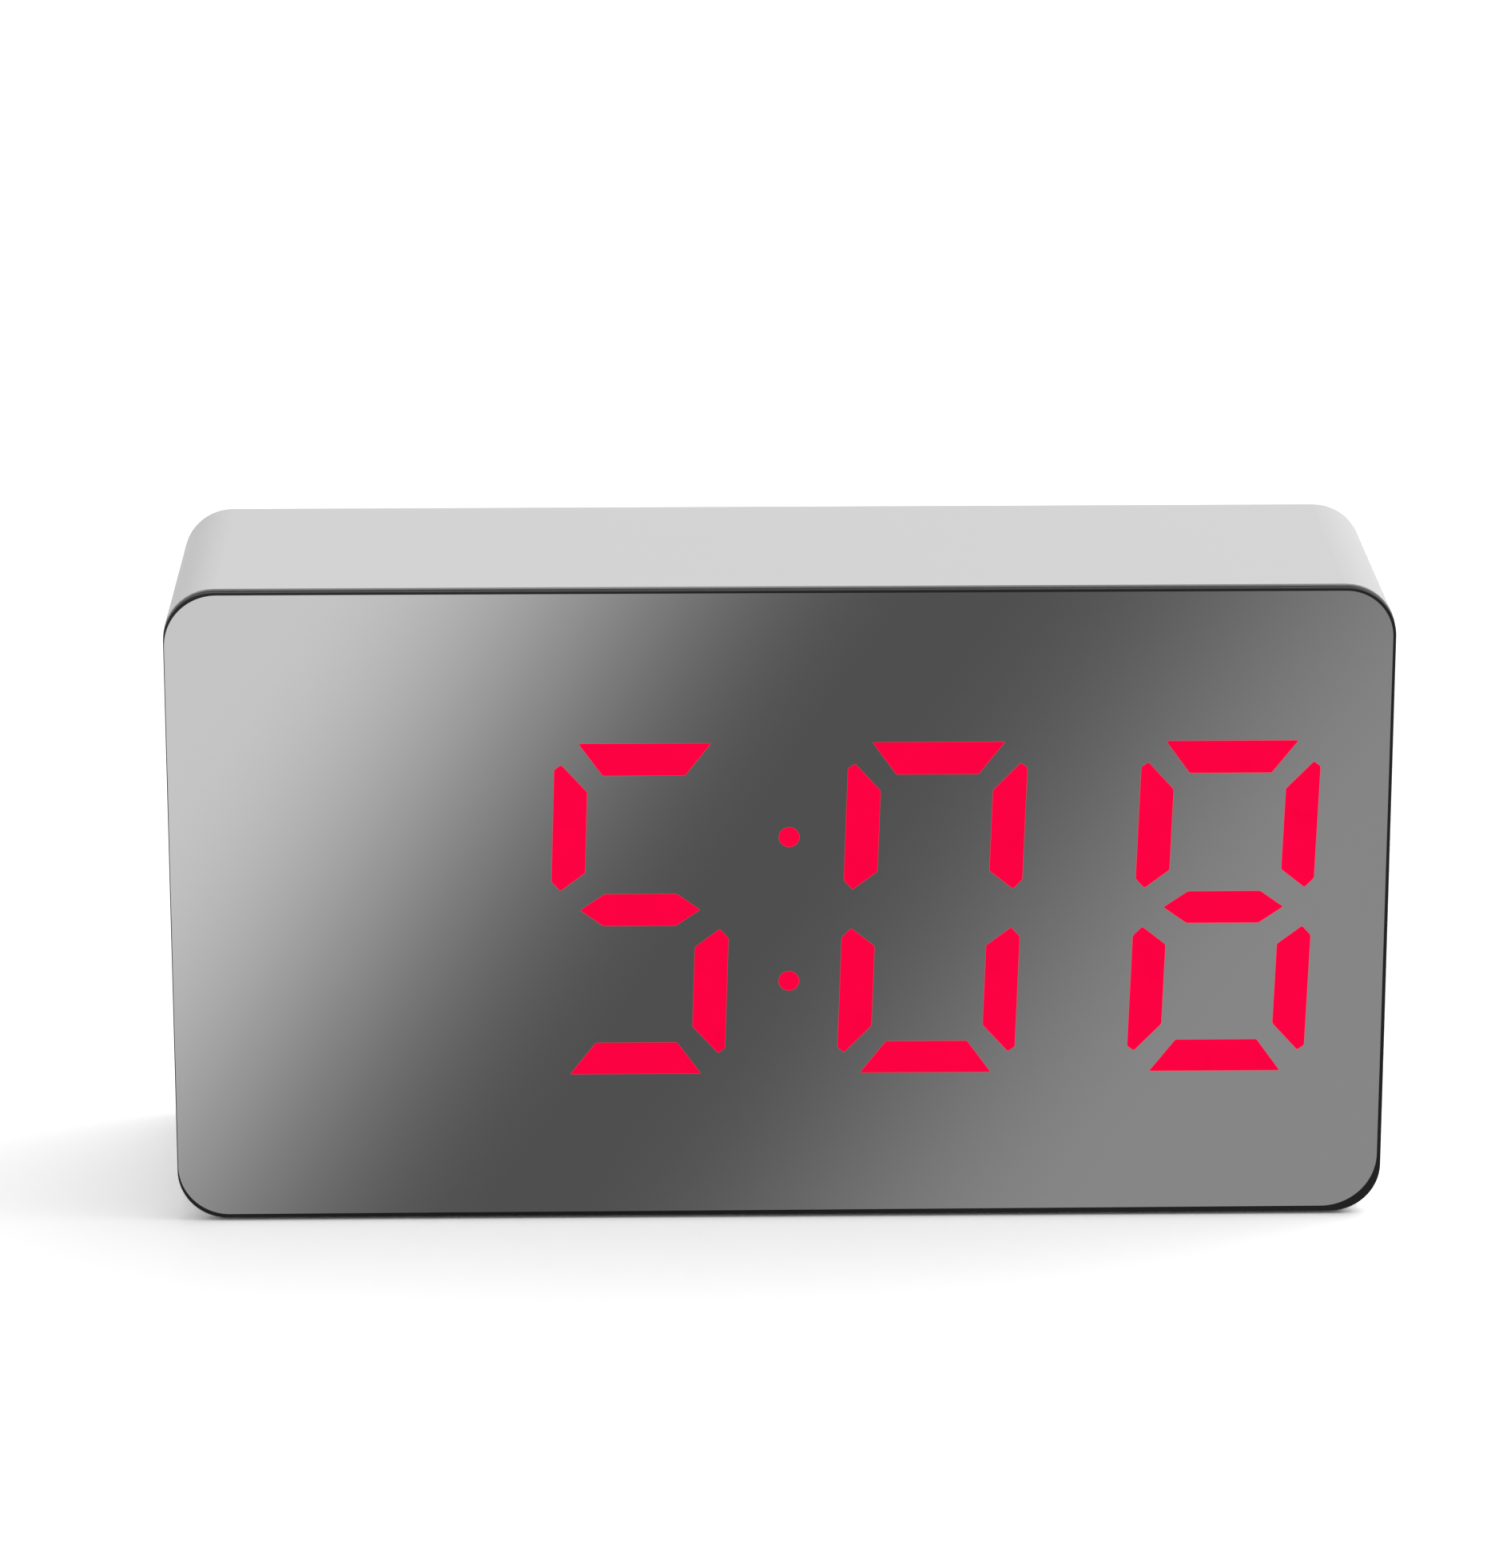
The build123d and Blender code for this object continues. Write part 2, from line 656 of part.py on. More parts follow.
def case():
    """White moulded case with the battery bay, the screw bosses and the control panel."""
    shell = slab(case_outline(0), CASE_FACE, BACK)
    shell = fillet(shell.edges().group_by(Axis.Y)[-1], BACK_EDGE_RADIUS)
    shell -= slab(case_outline(RIM_WIDTH), CASE_FACE, FLANGE_BACK)
    shell -= slab(case_outline(WALL), FLANGE_BACK, BACK_INSIDE)

    bay_width = BAY_LENGTH + 2 * BAY_WALL
    bay_height = BAY_HEIGHT + 2 * BAY_WALL
    shell += slab(box_outline(0, BAY_Z, bay_width, bay_height), BAY_INSIDE - BAY_FLOOR, BACK_INSIDE)
    for x, z in corner_places(CASE_SCREW_X, CASE_SCREW_RISE):
        shell += slab(disc(x, z, CASE_BOSS), BOSS_FACE, BACK_INSIDE)
    for side in (-1, 1):
        stand = disc(side * STANDOFF_X, CONTROL_Z, STANDOFF_DIAMETER)
        shell += slab(stand, CONTROL_BACK, BACK_INSIDE)

    cuts = [slab(box_outline(0, BAY_Z, BAY_LENGTH, BAY_HEIGHT), BAY_INSIDE, BACK)]
    cuts.append(slab(door_outline(SLIDE_GAP), DOOR_INSIDE - DOOR_SEAT_GAP, BACK))
    reach = DOOR_WIDTH / 2 + TRUNNION_LENGTH + SLIDE_GAP
    cuts.append(rod(-reach, reach, HINGE_Y, HINGE_Z, TRUNNION_DIAMETER + 2 * TRUNNION_GAP))
    for x, z in corner_places(CASE_SCREW_X, CASE_SCREW_RISE):
        cuts.append(slab(disc(x, z, CASE_HEAD_WELL), CASE_SCREW_SEAT, BACK))
        hole = disc(x, z, CASE_SCREW_SHANK + 2 * FIT_GAP)
        cuts.append(slab(hole, BOSS_FACE, CASE_SCREW_SEAT))
    recess = soft_outline(0, CONTROL_Z, PANEL_WIDTH, PANEL_HEIGHT, PANEL_RADIUS)
    cuts.append(slab(recess, PANEL_FLOOR, BACK))
    for index in range(len(BUTTON_NAMES)):
        hole = disc(button_x(index), CONTROL_Z, BUTTON_DIAMETER + 2 * SLIDE_GAP)
        cuts.append(slab(hole, BACK_INSIDE, PANEL_FLOOR))
    cuts.append(slab(inlet_outline(FIT_GAP), BACK_INSIDE, PANEL_FLOOR))
    for x, z in sound_hole_places():
        cuts.append(slab(disc(x, z, SOUND_HOLE), BACK_INSIDE, PANEL_FLOOR))
    for side in (-1, 1):
        pilot = disc(side * STANDOFF_X, CONTROL_Z, BOARD_SCREW_SHANK + 2 * THREAD_GAP)
        pilot_end = CONTROL_FACE + CONTROL_SCREW_LENGTH + SCREW_TIP_ROOM
        cuts.append(slab(pilot, CONTROL_BACK, pilot_end))
    for side, y, z in battery_ends():
        x = side * (BAY_LENGTH + BAY_WALL) / 2
        slot_size = CONTACT_THICKNESS + 2 * FIT_GAP
        tab = Box(2 * BAY_WALL, slot_size, TAB_WIDTH + 2 * FIT_GAP)
        cuts.append(Pos(x, y, z) * tab)
    for x, y in foot_places():
        pocket = Cylinder(FOOT_DIAMETER / 2 + FIT_GAP, 2 * FOOT_SINK)
        cuts.append(Pos(x, y, CASE_BOTTOM) * pocket)
    return shell - cuts


def foot_places():
    x = WIDTH / 2 - FOOT_INSET_X
    depths = (CASE_FACE + FOOT_INSET_Y, BACK - FOOT_INSET_Y)
    return [(side * x, y) for side in (-1, 1) for y in depths]


def feet():
    height = FOOT_LIFT + FOOT_SINK
    pad = Pos(0, 0, height / 2) * Cylinder(FOOT_DIAMETER / 2, height)
    return Compound([Pos(x, y, 0) * pad for x, y in foot_places()])


def case_screws():
    one = screw(CASE_SCREW_HEAD, CASE_SCREW_HEAD_HEIGHT, CASE_SCREW_SHANK, CASE_SCREW_LENGTH)
    places = corner_places(CASE_SCREW_X, CASE_SCREW_RISE)
    return Compound([Pos(x, CASE_SCREW_SEAT, z) * one for x, z in places])


# Control board, its switches and buttons


def control_board():
    outline = box_outline(0, CONTROL_Z, PANEL_WIDTH, CONTROL_HEIGHT)
    board = slab(outline, CONTROL_FACE, CONTROL_BACK)
    for side in (-1, 1):
        hole = disc(side * STANDOFF_X, CONTROL_Z, BOARD_SCREW_SHANK + 2 * FIT_GAP)
        board -= slab(hole, CONTROL_FACE, CONTROL_BACK)
    return board


def control_screws():
    turned = Rot(0, 0, 180) * board_screw(CONTROL_SCREW_LENGTH)
    places = [(side * STANDOFF_X, CONTROL_FACE, CONTROL_Z) for side in (-1, 1)]
    return Compound([Pos(*place) * turned for place in places])


def switch_bodies():
    bodies = []
    bore_face = SWITCH_BACK - PLUNGER_GRIP - BUTTON_TRAVEL - SLIDE_GAP
    for index in range(len(BUTTON_NAMES)):
        x = button_x(index)
        body = slab(box_outline(x, CONTROL_Z, SWITCH_SIDE, SWITCH_SIDE), CONTROL_BACK, SWITCH_BACK)
        body = chamfer(body.edges().filter_by(Axis.Y), SWITCH_EDGE)
        bore = disc(x, CONTROL_Z, PLUNGER_DIAMETER + 2 * PLUNGER_GAP)
        bodies.append(body - slab(bore, bore_face, SWITCH_BACK))
    return Compound(bodies)


def plunger(index):
    outline = disc(button_x(index), CONTROL_Z, PLUNGER_DIAMETER)
    return slab(outline, SWITCH_BACK - PLUNGER_GRIP, COLLAR_FACE)


def button(index):
    """Round cap with a collar that keeps it behind the wall."""
    x = button_x(index)
    cap = slab(disc(x, CONTROL_Z, BUTTON_DIAMETER), COLLAR_FACE, PANEL_FLOOR + BUTTON_PROUD)
    cap = chamfer(cap.edges().group_by(Axis.Y)[-1], BUTTON_EDGE)
    return cap + slab(disc(x, CONTROL_Z, COLLAR_DIAMETER), COLLAR_FACE, COLLAR_BACK)


def inlet_shell():
    tube = inlet_outline(0) - inlet_outline(-INLET_WALL)
    return slab(tube, CONTROL_BACK, INLET_BACK)


def inlet_tongue():
    """Plastic core of the inlet: a plug at its foot and the contact tongue."""
    core_end = CONTROL_BACK + INLET_CORE
    core = slab(inlet_outline(-INLET_WALL - TOUCH_GAP), CONTROL_BACK, core_end)
    tongue = box_outline(END_ITEM_X, CONTROL_Z, TONGUE_WIDTH, TONGUE_THICKNESS)
    return core + slab(tongue, CONTROL_BACK, INLET_BACK - TONGUE_SINK)


def buzzer():
    top = CONTROL_BACK + BUZZER_HEIGHT
    can = slab(disc(-END_ITEM_X, CONTROL_Z, BUZZER_DIAMETER), CONTROL_BACK, top)
    return can - slab(disc(-END_ITEM_X, CONTROL_Z, BUZZER_MOUTH), top - BUZZER_MOUTH_DEPTH, top)


def capacitor():
    outline = disc(CAPACITOR_X, CONTROL_Z, CAPACITOR_DIAMETER)
    can = slab(outline, CONTROL_FACE - CAPACITOR_LENGTH, CONTROL_FACE)
    return chamfer(can.edges().group_by(Axis.Y)[0], CAPACITOR_EDGE)


# Battery bay


def cell():
    """One cell lying along X about its middle, its nipple towards +X."""
    radius = CELL_DIAMETER / 2
    half = CELL_LENGTH / 2
    shoulder = half - CELL_NIPPLE_LENGTH
    body = Pos((shoulder - half) / 2, 0, 0) * Rot(0, 90, 0) * Cylinder(radius, shoulder + half)
    body = chamfer(body.edges().filter_by(GeomType.CIRCLE).sort_by(Axis.X)[-1], CELL_EDGE)
    return body + rod(shoulder, half, 0, 0, CELL_NIPPLE)


def cells():
    made = []
    for index in range(CELL_COUNT):
        side = positive_side(index)
        turn = 0 if side > 0 else 180
        x = side * (BAY_LENGTH / 2 - POSITIVE_STACK - CELL_LENGTH / 2)
        made.append(Pos(x, CELL_Y, cell_z(index)) * Rot(0, 0, turn) * cell())
    return Compound(made)


def contact_strip(side, high, low):
    """Sprung metal strip at one end of the bay, behind the cells from high to low."""
    x = side * (BAY_LENGTH / 2 - TOUCH_GAP - CONTACT_THICKNESS / 2)
    tall = cell_z(high) - cell_z(low) + CONTACT_SIDE
    middle = (cell_z(high) + cell_z(low)) / 2
    strip = Pos(x, CELL_Y, middle) * Box(CONTACT_THICKNESS, CONTACT_SIDE, tall)
    for index in range(high, low + 1):
        if positive_side(index) == side:
            face = x - side * CONTACT_THICKNESS / 2
            bump_end = face - side * CONTACT_BUMP_HEIGHT
            strip += rod(face, bump_end, CELL_Y, cell_z(index), CONTACT_BUMP)
    return strip


def lead_tab(side, y, z):
    """Solder tab that reaches from an end contact out through the bay's wall."""
    inner = BAY_LENGTH / 2 - CONTACT_STACK
    outer = BAY_LENGTH / 2 + BAY_WALL + TAB_REACH
    tab = Box(outer - inner, CONTACT_THICKNESS, TAB_WIDTH)
    return Pos(side * (inner + outer) / 2, y, z) * tab


def contact_plates():
    """Two end contacts with their tabs, and the strips that join the cells in series."""
    last = CELL_COUNT - 1
    plates = []
    for index, end in zip((0, last), battery_ends()):
        plates.append(contact_strip(end[0], index, index) + lead_tab(*end))
    for index in range(last):
        plates.append(contact_strip(-positive_side(index), index, index + 1))
    return Compound(plates)


def spring_point(turn, length):
    """Point and direction of the spring's wire after some turns, on the X axis."""
    margin = SPRING_WIRE / 2 + TOUCH_GAP
    rise = (length - 2 * margin) / SPRING_TURNS
    shrink = (SPRING_TIP - SPRING_BASE) / 2 / SPRING_TURNS
    radius = (SPRING_BASE - SPRING_WIRE) / 2 + shrink * turn
    angle = math.tau * turn
    point = Vector(margin + rise * turn, radius * math.cos(angle), radius * math.sin(angle))
    along_y = shrink * math.cos(angle) - math.tau * radius * math.sin(angle)
    along_z = shrink * math.sin(angle) + math.tau * radius * math.cos(angle)
    return point, Vector(rise, along_y, along_z).normalized()


def two_arcs(start, start_way, end, end_way):
    """Two arcs that leave one point and reach another along given directions."""
    span = end - start
    ways = start_way + end_way
    spread = 2 * (1 - start_way.dot(end_way))
    lean = span.dot(ways)
    reach = (math.sqrt(lean * lean + spread * span.dot(span)) - lean) / spread
    first = start + start_way * reach
    second = end - end_way * reach
    middle = (first + second) * 0.5
    return [
        TangentArc(start, middle, tangent=start_way),
        TangentArc(middle, end, tangent=second - first),
    ]


def spring():
    """Tapered contact spring from its strip at x = 0, one wire wound in a few steps a turn."""
    steps = range(SPRING_STEPS * SPRING_TURNS + 1)
    knots = [spring_point(step / SPRING_STEPS, SPRING_SPACE) for step in steps]
    arcs = []
    for (start, start_way), (end, end_way) in zip(knots, knots[1:]):
        arcs += two_arcs(start, start_way, end, end_way)
    start, way = knots[0]
    return sweep(Plane(origin=start, z_dir=way) * wire_section(SPRING_WIRE), path=Wire(arcs))


def contact_springs():
    wound = spring()
    made = []
    for index in range(CELL_COUNT):
        side = -positive_side(index)
        turn = 0 if side < 0 else 180
        x = side * (BAY_LENGTH / 2 - CONTACT_STACK)
        made.append(Pos(x, CELL_Y, cell_z(index)) * Rot(0, 0, turn) * wound)
    return Compound(made)


def spring_gap():
    """Least gap between neighbouring turns, measured on points along the wire."""
    steps = 48
    points = [spring_point(i / steps, SPRING_SPACE)[0] for i in range(SPRING_TURNS * steps + 1)]
    nearest = min(
        (points[i] - points[j]).length
        for i in range(len(points))
        for j in range(i + steps // 2, len(points))
    )
    return nearest - SPRING_WIRE


def battery_door():
    """Door with a rolled lower edge, two trunnions, cell ribs and a finger pull."""
    plate = slab(door_outline(0), DOOR_INSIDE, BACK)
    hinge_strip = box_outline(0, (DOOR_BOTTOM + HINGE_Z) / 2, DOOR_WIDTH, HINGE_Z - DOOR_BOTTOM)
    plate -= slab(hinge_strip, DOOR_INSIDE, BACK)
    half = DOOR_WIDTH / 2
    plate += rod(-half, half, HINGE_Y, HINGE_Z, DOOR_THICKNESS)
    reach = half + TRUNNION_LENGTH
    plate += rod(-reach, reach, HINGE_Y, HINGE_Z, TRUNNION_DIAMETER)
    rib_low = DOOR_BOTTOM + RIB_LIFT
    rib_high = DOOR_TOP - RIB_TOP_GAP
    for side in (-1, 1):
        rib = box_outline(side * RIB_SPREAD, (rib_low + rib_high) / 2, RIB_WIDTH, rib_high - rib_low)
        plate += slab(rib, DOOR_INSIDE - RIB_HEIGHT, DOOR_INSIDE)
    pull_z = DOOR_TOP - PULL_DROP - PULL_HEIGHT / 2
    pull = Pos(0, pull_z) * SlotOverall(PULL_WIDTH, PULL_HEIGHT)
    return plate - slab(pull, BACK - PULL_DEPTH, BACK)


# Wires


def tube(path, diameter):
    """Wire along a path of straight runs and arcs, with its volume compared."""
    section = wire_section(diameter)
    wire = sweep(Plane(origin=path @ 0, z_dir=path % 0) * section, path=path)
    expected = section.area * path.length
    print("wire volume over section times length:", round(wire.volume / expected, 4))
    return wire


def battery_lead(side, y, z, edge):
    """Lead from an end contact's tab, up beside the bay, to the front of the control board."""
    tab_end = side * (BAY_LENGTH / 2 + BAY_WALL + TAB_REACH)
    x = tab_end + side * LEAD_OUT
    end_z = CONTROL_Z - CONTROL_HEIGHT / 2 + edge
    points = [(tab_end, y, z), (x, y, z), (x, y, end_z), (x, CONTROL_FACE, end_z)]
    bends = [LEAD_BEND, LEAD_END_BEND]
    return tube(FilletPolyline(*points, radius=bends), LEAD_DIAMETER)


def ribbon_cable():
    """Flat cable from the back of the display board up to the front of the control board."""
    low = DISPLAY_Z + REFLECTOR_HEIGHT / 2 - RIBBON_EDGE
    middle = (BOARD_BACK + CONTROL_FACE) / 2
    points = [
        (0, BOARD_BACK, low),
        (0, middle, low),
        (0, middle, CONTROL_Z),
        (0, CONTROL_FACE, CONTROL_Z),
    ]
    path = FilletPolyline(*points, radius=RIBBON_BEND)
    section = Rectangle(RIBBON_WIDTH, RIBBON_THICKNESS)
    return sweep(across(BOARD_BACK) * Pos(0, low) * section, path=path)


# Every piece by its name
NODES = {
    "case": case(),
    "front_frame": front_frame(),
    "mirror_panel": mirror_panel(),
    "mirror_tape": mirror_tape(),
    "reflector": reflector(),
    "digit_1_dark_segments": digit_lenses(0, False),
    "digit_2_lit_segments": digit_lenses(1, True),
    "digit_2_dark_segments": digit_lenses(1, False),
    "digit_3_lit_segments": digit_lenses(2, True),
    "digit_3_dark_segment": digit_lenses(2, False),
    "digit_4_lit_segments": digit_lenses(3, True),
    "colon_dots": colon_dots(),
    "display_board": display_board(),
    "led_chips": led_chips(),
    "display_driver": display_driver(),
    "crystal": crystal(),
    "chip_resistors": chip_resistors(),
    "display_screws": display_screws(),
    "control_board": control_board(),
    "control_screws": control_screws(),
    "switch_bodies": switch_bodies(),
    "inlet_shell": inlet_shell(),
    "inlet_tongue": inlet_tongue(),
    "buzzer": buzzer(),
    "capacitor": capacitor(),
    "battery_cells": cells(),
    "contact_plates": contact_plates(),
    "contact_springs": contact_springs(),
    "battery_door": battery_door(),
    "red_lead": battery_lead(*battery_ends()[0], RED_LEAD_EDGE),
    "black_lead": battery_lead(*battery_ends()[1], BLACK_LEAD_EDGE),
    "ribbon_cable": ribbon_cable(),
    "case_screws": case_screws(),
    "feet": feet(),
}
for number, name in enumerate(BUTTON_NAMES):
    NODES[f"{name}_button"] = button(number)
    NODES[f"{name}_plunger"] = plunger(number)

os.makedirs("parts", exist_ok=True)
for name, shape in NODES.items():
    export_step(shape, f"parts/{name}.step")
print("nodes:", len(NODES))
print("least gap between spring turns:", round(spring_gap(), 3))
print("hinge axis y, z:", HINGE_Y, HINGE_Z)
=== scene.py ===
# %% [markdown]
# # A desk clock with a mirror front
# The clock is a white moulded case behind a half-mirror. Red digits shine through the mirror, and the
# panel's black edge shows as a thin line round it. The solids of all pieces come from the frame, so
# this lesson only dresses them: a mirror with lit windows, a finish for each piece, and the studio.

# %% Load the frame
import json
import math

import bmesh
import bpy
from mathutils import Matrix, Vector, geometry


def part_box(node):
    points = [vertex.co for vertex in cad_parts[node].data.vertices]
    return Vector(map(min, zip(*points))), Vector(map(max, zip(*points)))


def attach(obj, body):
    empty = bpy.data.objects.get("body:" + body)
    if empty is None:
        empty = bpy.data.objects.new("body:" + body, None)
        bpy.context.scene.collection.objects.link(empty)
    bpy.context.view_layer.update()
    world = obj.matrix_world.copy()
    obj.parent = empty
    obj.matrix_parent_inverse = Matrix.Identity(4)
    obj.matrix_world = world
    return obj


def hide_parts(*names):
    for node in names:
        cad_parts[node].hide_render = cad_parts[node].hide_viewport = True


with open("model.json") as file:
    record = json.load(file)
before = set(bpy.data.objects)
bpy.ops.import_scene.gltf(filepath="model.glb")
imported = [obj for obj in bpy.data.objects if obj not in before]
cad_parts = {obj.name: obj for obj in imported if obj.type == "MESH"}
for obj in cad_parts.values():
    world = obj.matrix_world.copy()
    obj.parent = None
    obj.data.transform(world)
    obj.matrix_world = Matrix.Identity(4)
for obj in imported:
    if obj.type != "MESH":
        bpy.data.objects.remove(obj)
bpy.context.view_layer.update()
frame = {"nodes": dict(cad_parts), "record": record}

MM = 0.001

# %% [markdown]
# ## Tools for shader nodes
# A finish is a tree of nodes, and each node is made, set and linked in the same way. Doing that by hand
# takes many lines, so a few helpers do it: one feeds inputs, one adds a node, one does arithmetic and
# one mixes colours. An input is given by its name, or by its number where two inputs share a name.

# %% Node helpers
def feed(tree, node, **inputs):
    """Sets or links inputs of a node, by name as in Base_Color or by number as in _6."""
    for label, value in inputs.items():
        number = label[1:]
        socket = node.inputs[int(number) if number.isdigit() else label.replace("_", " ")]
        if isinstance(value, bpy.types.NodeSocket):
            tree.links.new(value, socket)
        else:
            socket.default_value = value


def add_node(tree, kind, settings=None, **inputs):
    """A node with its settings and inputs."""
    node = tree.nodes.new(kind)
    for label, value in (settings or {}).items():
        setattr(node, label, value)
    feed(tree, node, **inputs)
    return node


def math_node(tree, operation, *values):
    """The result of a math node on numbers or sockets."""
    numbered = {f"_{number}": value for number, value in enumerate(values)}
    return add_node(tree, "ShaderNodeMath", {"operation": operation}, **numbered).outputs[0]


def opaque(colour):
    """A colour for a socket: its red, green and blue, and full opacity."""
    return (*colour, 1.0)


def mixed(tree, factor, first, second, blend="MIX"):
    """The first colour where the factor is 0, blended with the second where it is 1."""
    settings = {"data_type": "RGBA", "blend_type": blend}
    return add_node(tree, "ShaderNodeMix", settings, _0=factor, _6=first, _7=second).outputs[2]


print("node helpers ready")

# %% [markdown]
# ## The moulded skin
# A moulded or pressed surface is never one flat colour. Flow in the mould leaves soft patches that
# are a little lighter or darker and a little glossier, and the tool's own surface prints a fine
# grain. Noise in the piece's own coordinates gives both, at sizes set in millimetres. Most finishes
# need it, so it is a node group: built once, and placed in each material with its own values.

# %% Group for the moulded skin
FLOAT = "NodeSocketFloat"
COLOUR = "NodeSocketColor"
NOISE_LOW = 0.3
NOISE_HIGH = 0.7


def shader_group(name, inputs, outputs):
    """An empty node group with named sockets, and its entry and exit nodes."""
    group = bpy.data.node_groups.new(name, "ShaderNodeTree")
    for label, kind in inputs.items():
        group.interface.new_socket(name=label, in_out="INPUT", socket_type=kind)
    for label, kind in outputs.items():
        group.interface.new_socket(name=label, in_out="OUTPUT", socket_type=kind)
    entry = group.nodes.new("NodeGroupInput")
    leave = group.nodes.new("NodeGroupOutput")
    return group, entry, leave


def moulded_skin_group():
    """Tint and gloss in soft patches, and the height of a fine grain."""
    inputs = {
        "Colour": COLOUR, "Tint": FLOAT, "Patches": FLOAT,
        "Roughness": FLOAT, "Spread": FLOAT, "Grains": FLOAT,
    }
    outputs = {"Colour": COLOUR, "Roughness": FLOAT, "Height": FLOAT}
    tree, entry, leave = shader_group("moulded_skin", inputs, outputs)
    place = tree.nodes.new("ShaderNodeTexCoord").outputs["Object"]
    given = entry.outputs
    cloud = add_node(tree, "ShaderNodeTexNoise", Vector=place, Scale=given["Patches"], Detail=3.0)
    level = add_node(tree, "ShaderNodeMapRange", Value=cloud.outputs[0], From_Min=NOISE_LOW,
                     From_Max=NOISE_HIGH, To_Min=-1.0, To_Max=1.0).outputs[0]
    shade = math_node(tree, "MULTIPLY_ADD", level, given["Tint"], 1.0)
    tinted = mixed(tree, 1.0, given["Colour"], shade, "MULTIPLY")
    gloss = math_node(tree, "MULTIPLY_ADD", level, given["Spread"], given["Roughness"])
    grain = add_node(tree, "ShaderNodeTexNoise", Vector=place, Scale=given["Grains"], Detail=2.0)
    feed(tree, leave, Colour=tinted, Roughness=gloss, Height=grain.outputs[0])
    return tree


moulded_skin = moulded_skin_group()
print("group:", moulded_skin.name, [socket.name for socket in moulded_skin.interface.items_tree])

# %% [markdown]
# A material places that group, sets its values and feeds the shader. Numbers that are the same all
# over, such as how metallic it is, go straight to the shader's own sockets.

# %% Material from the moulded skin
def new_material(name):
    """A material, its node tree and its shader."""
    material = bpy.data.materials.new(name)
    material.use_nodes = True
    tree = material.node_tree
    return material, tree, tree.nodes["Principled BSDF"]


def skin(tree, colour, roughness, tint, patch, spread, grain=1.0):
    """Outputs of the moulded skin. The grain only counts where the height is used."""
    node = add_node(tree, "ShaderNodeGroup", {"node_tree": moulded_skin})
    feed(tree, node, Colour=opaque(colour), Tint=tint, Patches=1 / (patch * MM))
    feed(tree, node, Roughness=roughness, Spread=spread, Grains=1 / (grain * MM))
    return node.outputs


def bump(tree, height, depth):
    """Normal of a surface whose height varies by a depth in millimetres."""
    return add_node(tree, "ShaderNodeBump", Height=height, Distance=depth * MM).outputs["Normal"]


def moulded(name, depth, metallic=0.0, **values):
    """Material of a moulded, pressed or drawn piece."""
    material, tree, shader = new_material(name)
    look = skin(tree, **values)
    feed(tree, shader, Base_Color=look["Colour"], Roughness=look["Roughness"], Metallic=metallic)
    feed(tree, shader, Normal=bump(tree, look["Height"], depth))
    return material


print("material tools ready")

# %% [markdown]
# The finishes differ in their values only. Tint and spread say how far colour and gloss wander. In
# millimetres, patch and grain say how wide the patches and grains are, and depth how deep the grain
# is.

# %% Moulded finishes
SKINS = {
    "white_plastic": dict(colour=(0.785, 0.773, 0.778), roughness=0.5, tint=0.012, patch=25.0,
                          spread=0.05, grain=0.22, depth=0.003),
    "button_plastic": dict(colour=(0.62, 0.62, 0.63), roughness=0.45, tint=0.03, patch=3.0,
                           spread=0.08, grain=0.15, depth=0.004),
    "black_plastic": dict(colour=(0.012, 0.012, 0.013), roughness=0.3, tint=0.15, patch=6.0,
                          spread=0.08, grain=0.2, depth=0.003),
    "black_tape": dict(colour=(0.015, 0.015, 0.016), roughness=0.9, tint=0.2, patch=1.0,
                       spread=0.05, grain=0.12, depth=0.02),
    "reflector_white": dict(colour=(0.88, 0.88, 0.87), roughness=0.55, tint=0.02, patch=10.0,
                            spread=0.05, grain=0.2, depth=0.003),
    "dark_lens": dict(colour=(0.1, 0.095, 0.095), roughness=0.35, tint=0.06, patch=2.0,
                      spread=0.06, grain=0.3, depth=0.002),
    "chip_body": dict(colour=(0.03, 0.03, 0.032), roughness=0.55, tint=0.15, patch=1.5,
                      spread=0.1, grain=0.08, depth=0.006),
    "chip_ceramic": dict(colour=(0.8, 0.78, 0.7), roughness=0.5, tint=0.05, patch=0.6,
                         spread=0.08, grain=0.05, depth=0.004),
    "can_metal": dict(colour=(0.72, 0.72, 0.74), roughness=0.3, tint=0.05, patch=1.5,
                      spread=0.1, grain=0.05, depth=0.002, metallic=1.0),
    "screw_steel": dict(colour=(0.52, 0.52, 0.54), roughness=0.38, tint=0.12, patch=0.8,
                        spread=0.08, grain=0.06, depth=0.003, metallic=1.0),
    "contact_nickel": dict(colour=(0.72, 0.71, 0.69), roughness=0.36, tint=0.06, patch=1.2,
                           spread=0.06, grain=0.05, depth=0.002, metallic=1.0),
    "red_wire": dict(colour=(0.6, 0.03, 0.03), roughness=0.4, tint=0.06, patch=2.0,
                     spread=0.06, grain=0.15, depth=0.003),
    "black_wire": dict(colour=(0.02, 0.02, 0.02), roughness=0.4, tint=0.12, patch=2.0,
                       spread=0.06, grain=0.15, depth=0.003),
    "foot_rubber": dict(colour=(0.05, 0.05, 0.052), roughness=0.8, tint=0.12, patch=1.5,
                        spread=0.08, grain=0.1, depth=0.012),
}
finishes = {name: moulded(name, **values) for name, values in SKINS.items()}
print("moulded finishes:", len(finishes))

# %% [markdown]
# ## Finishes that change along a piece
# Some pieces aren't the same all over: a battery cell has bare ends and a pale band, a chip has tinned
# legs, a ribbon cable has ribs and one striped edge. Painted maps would need unwrapping. A mask made
# from the place in the frame needs none, and its limits are read from the solids.

# %% Masks by place
TIN = (0.74, 0.73, 0.71)
GOLD = (0.83, 0.62, 0.25)
FINE_SKIN = dict(tint=0.1, patch=1.5, spread=0.08, grain=0.08)
FINE_DEPTH = 0.004


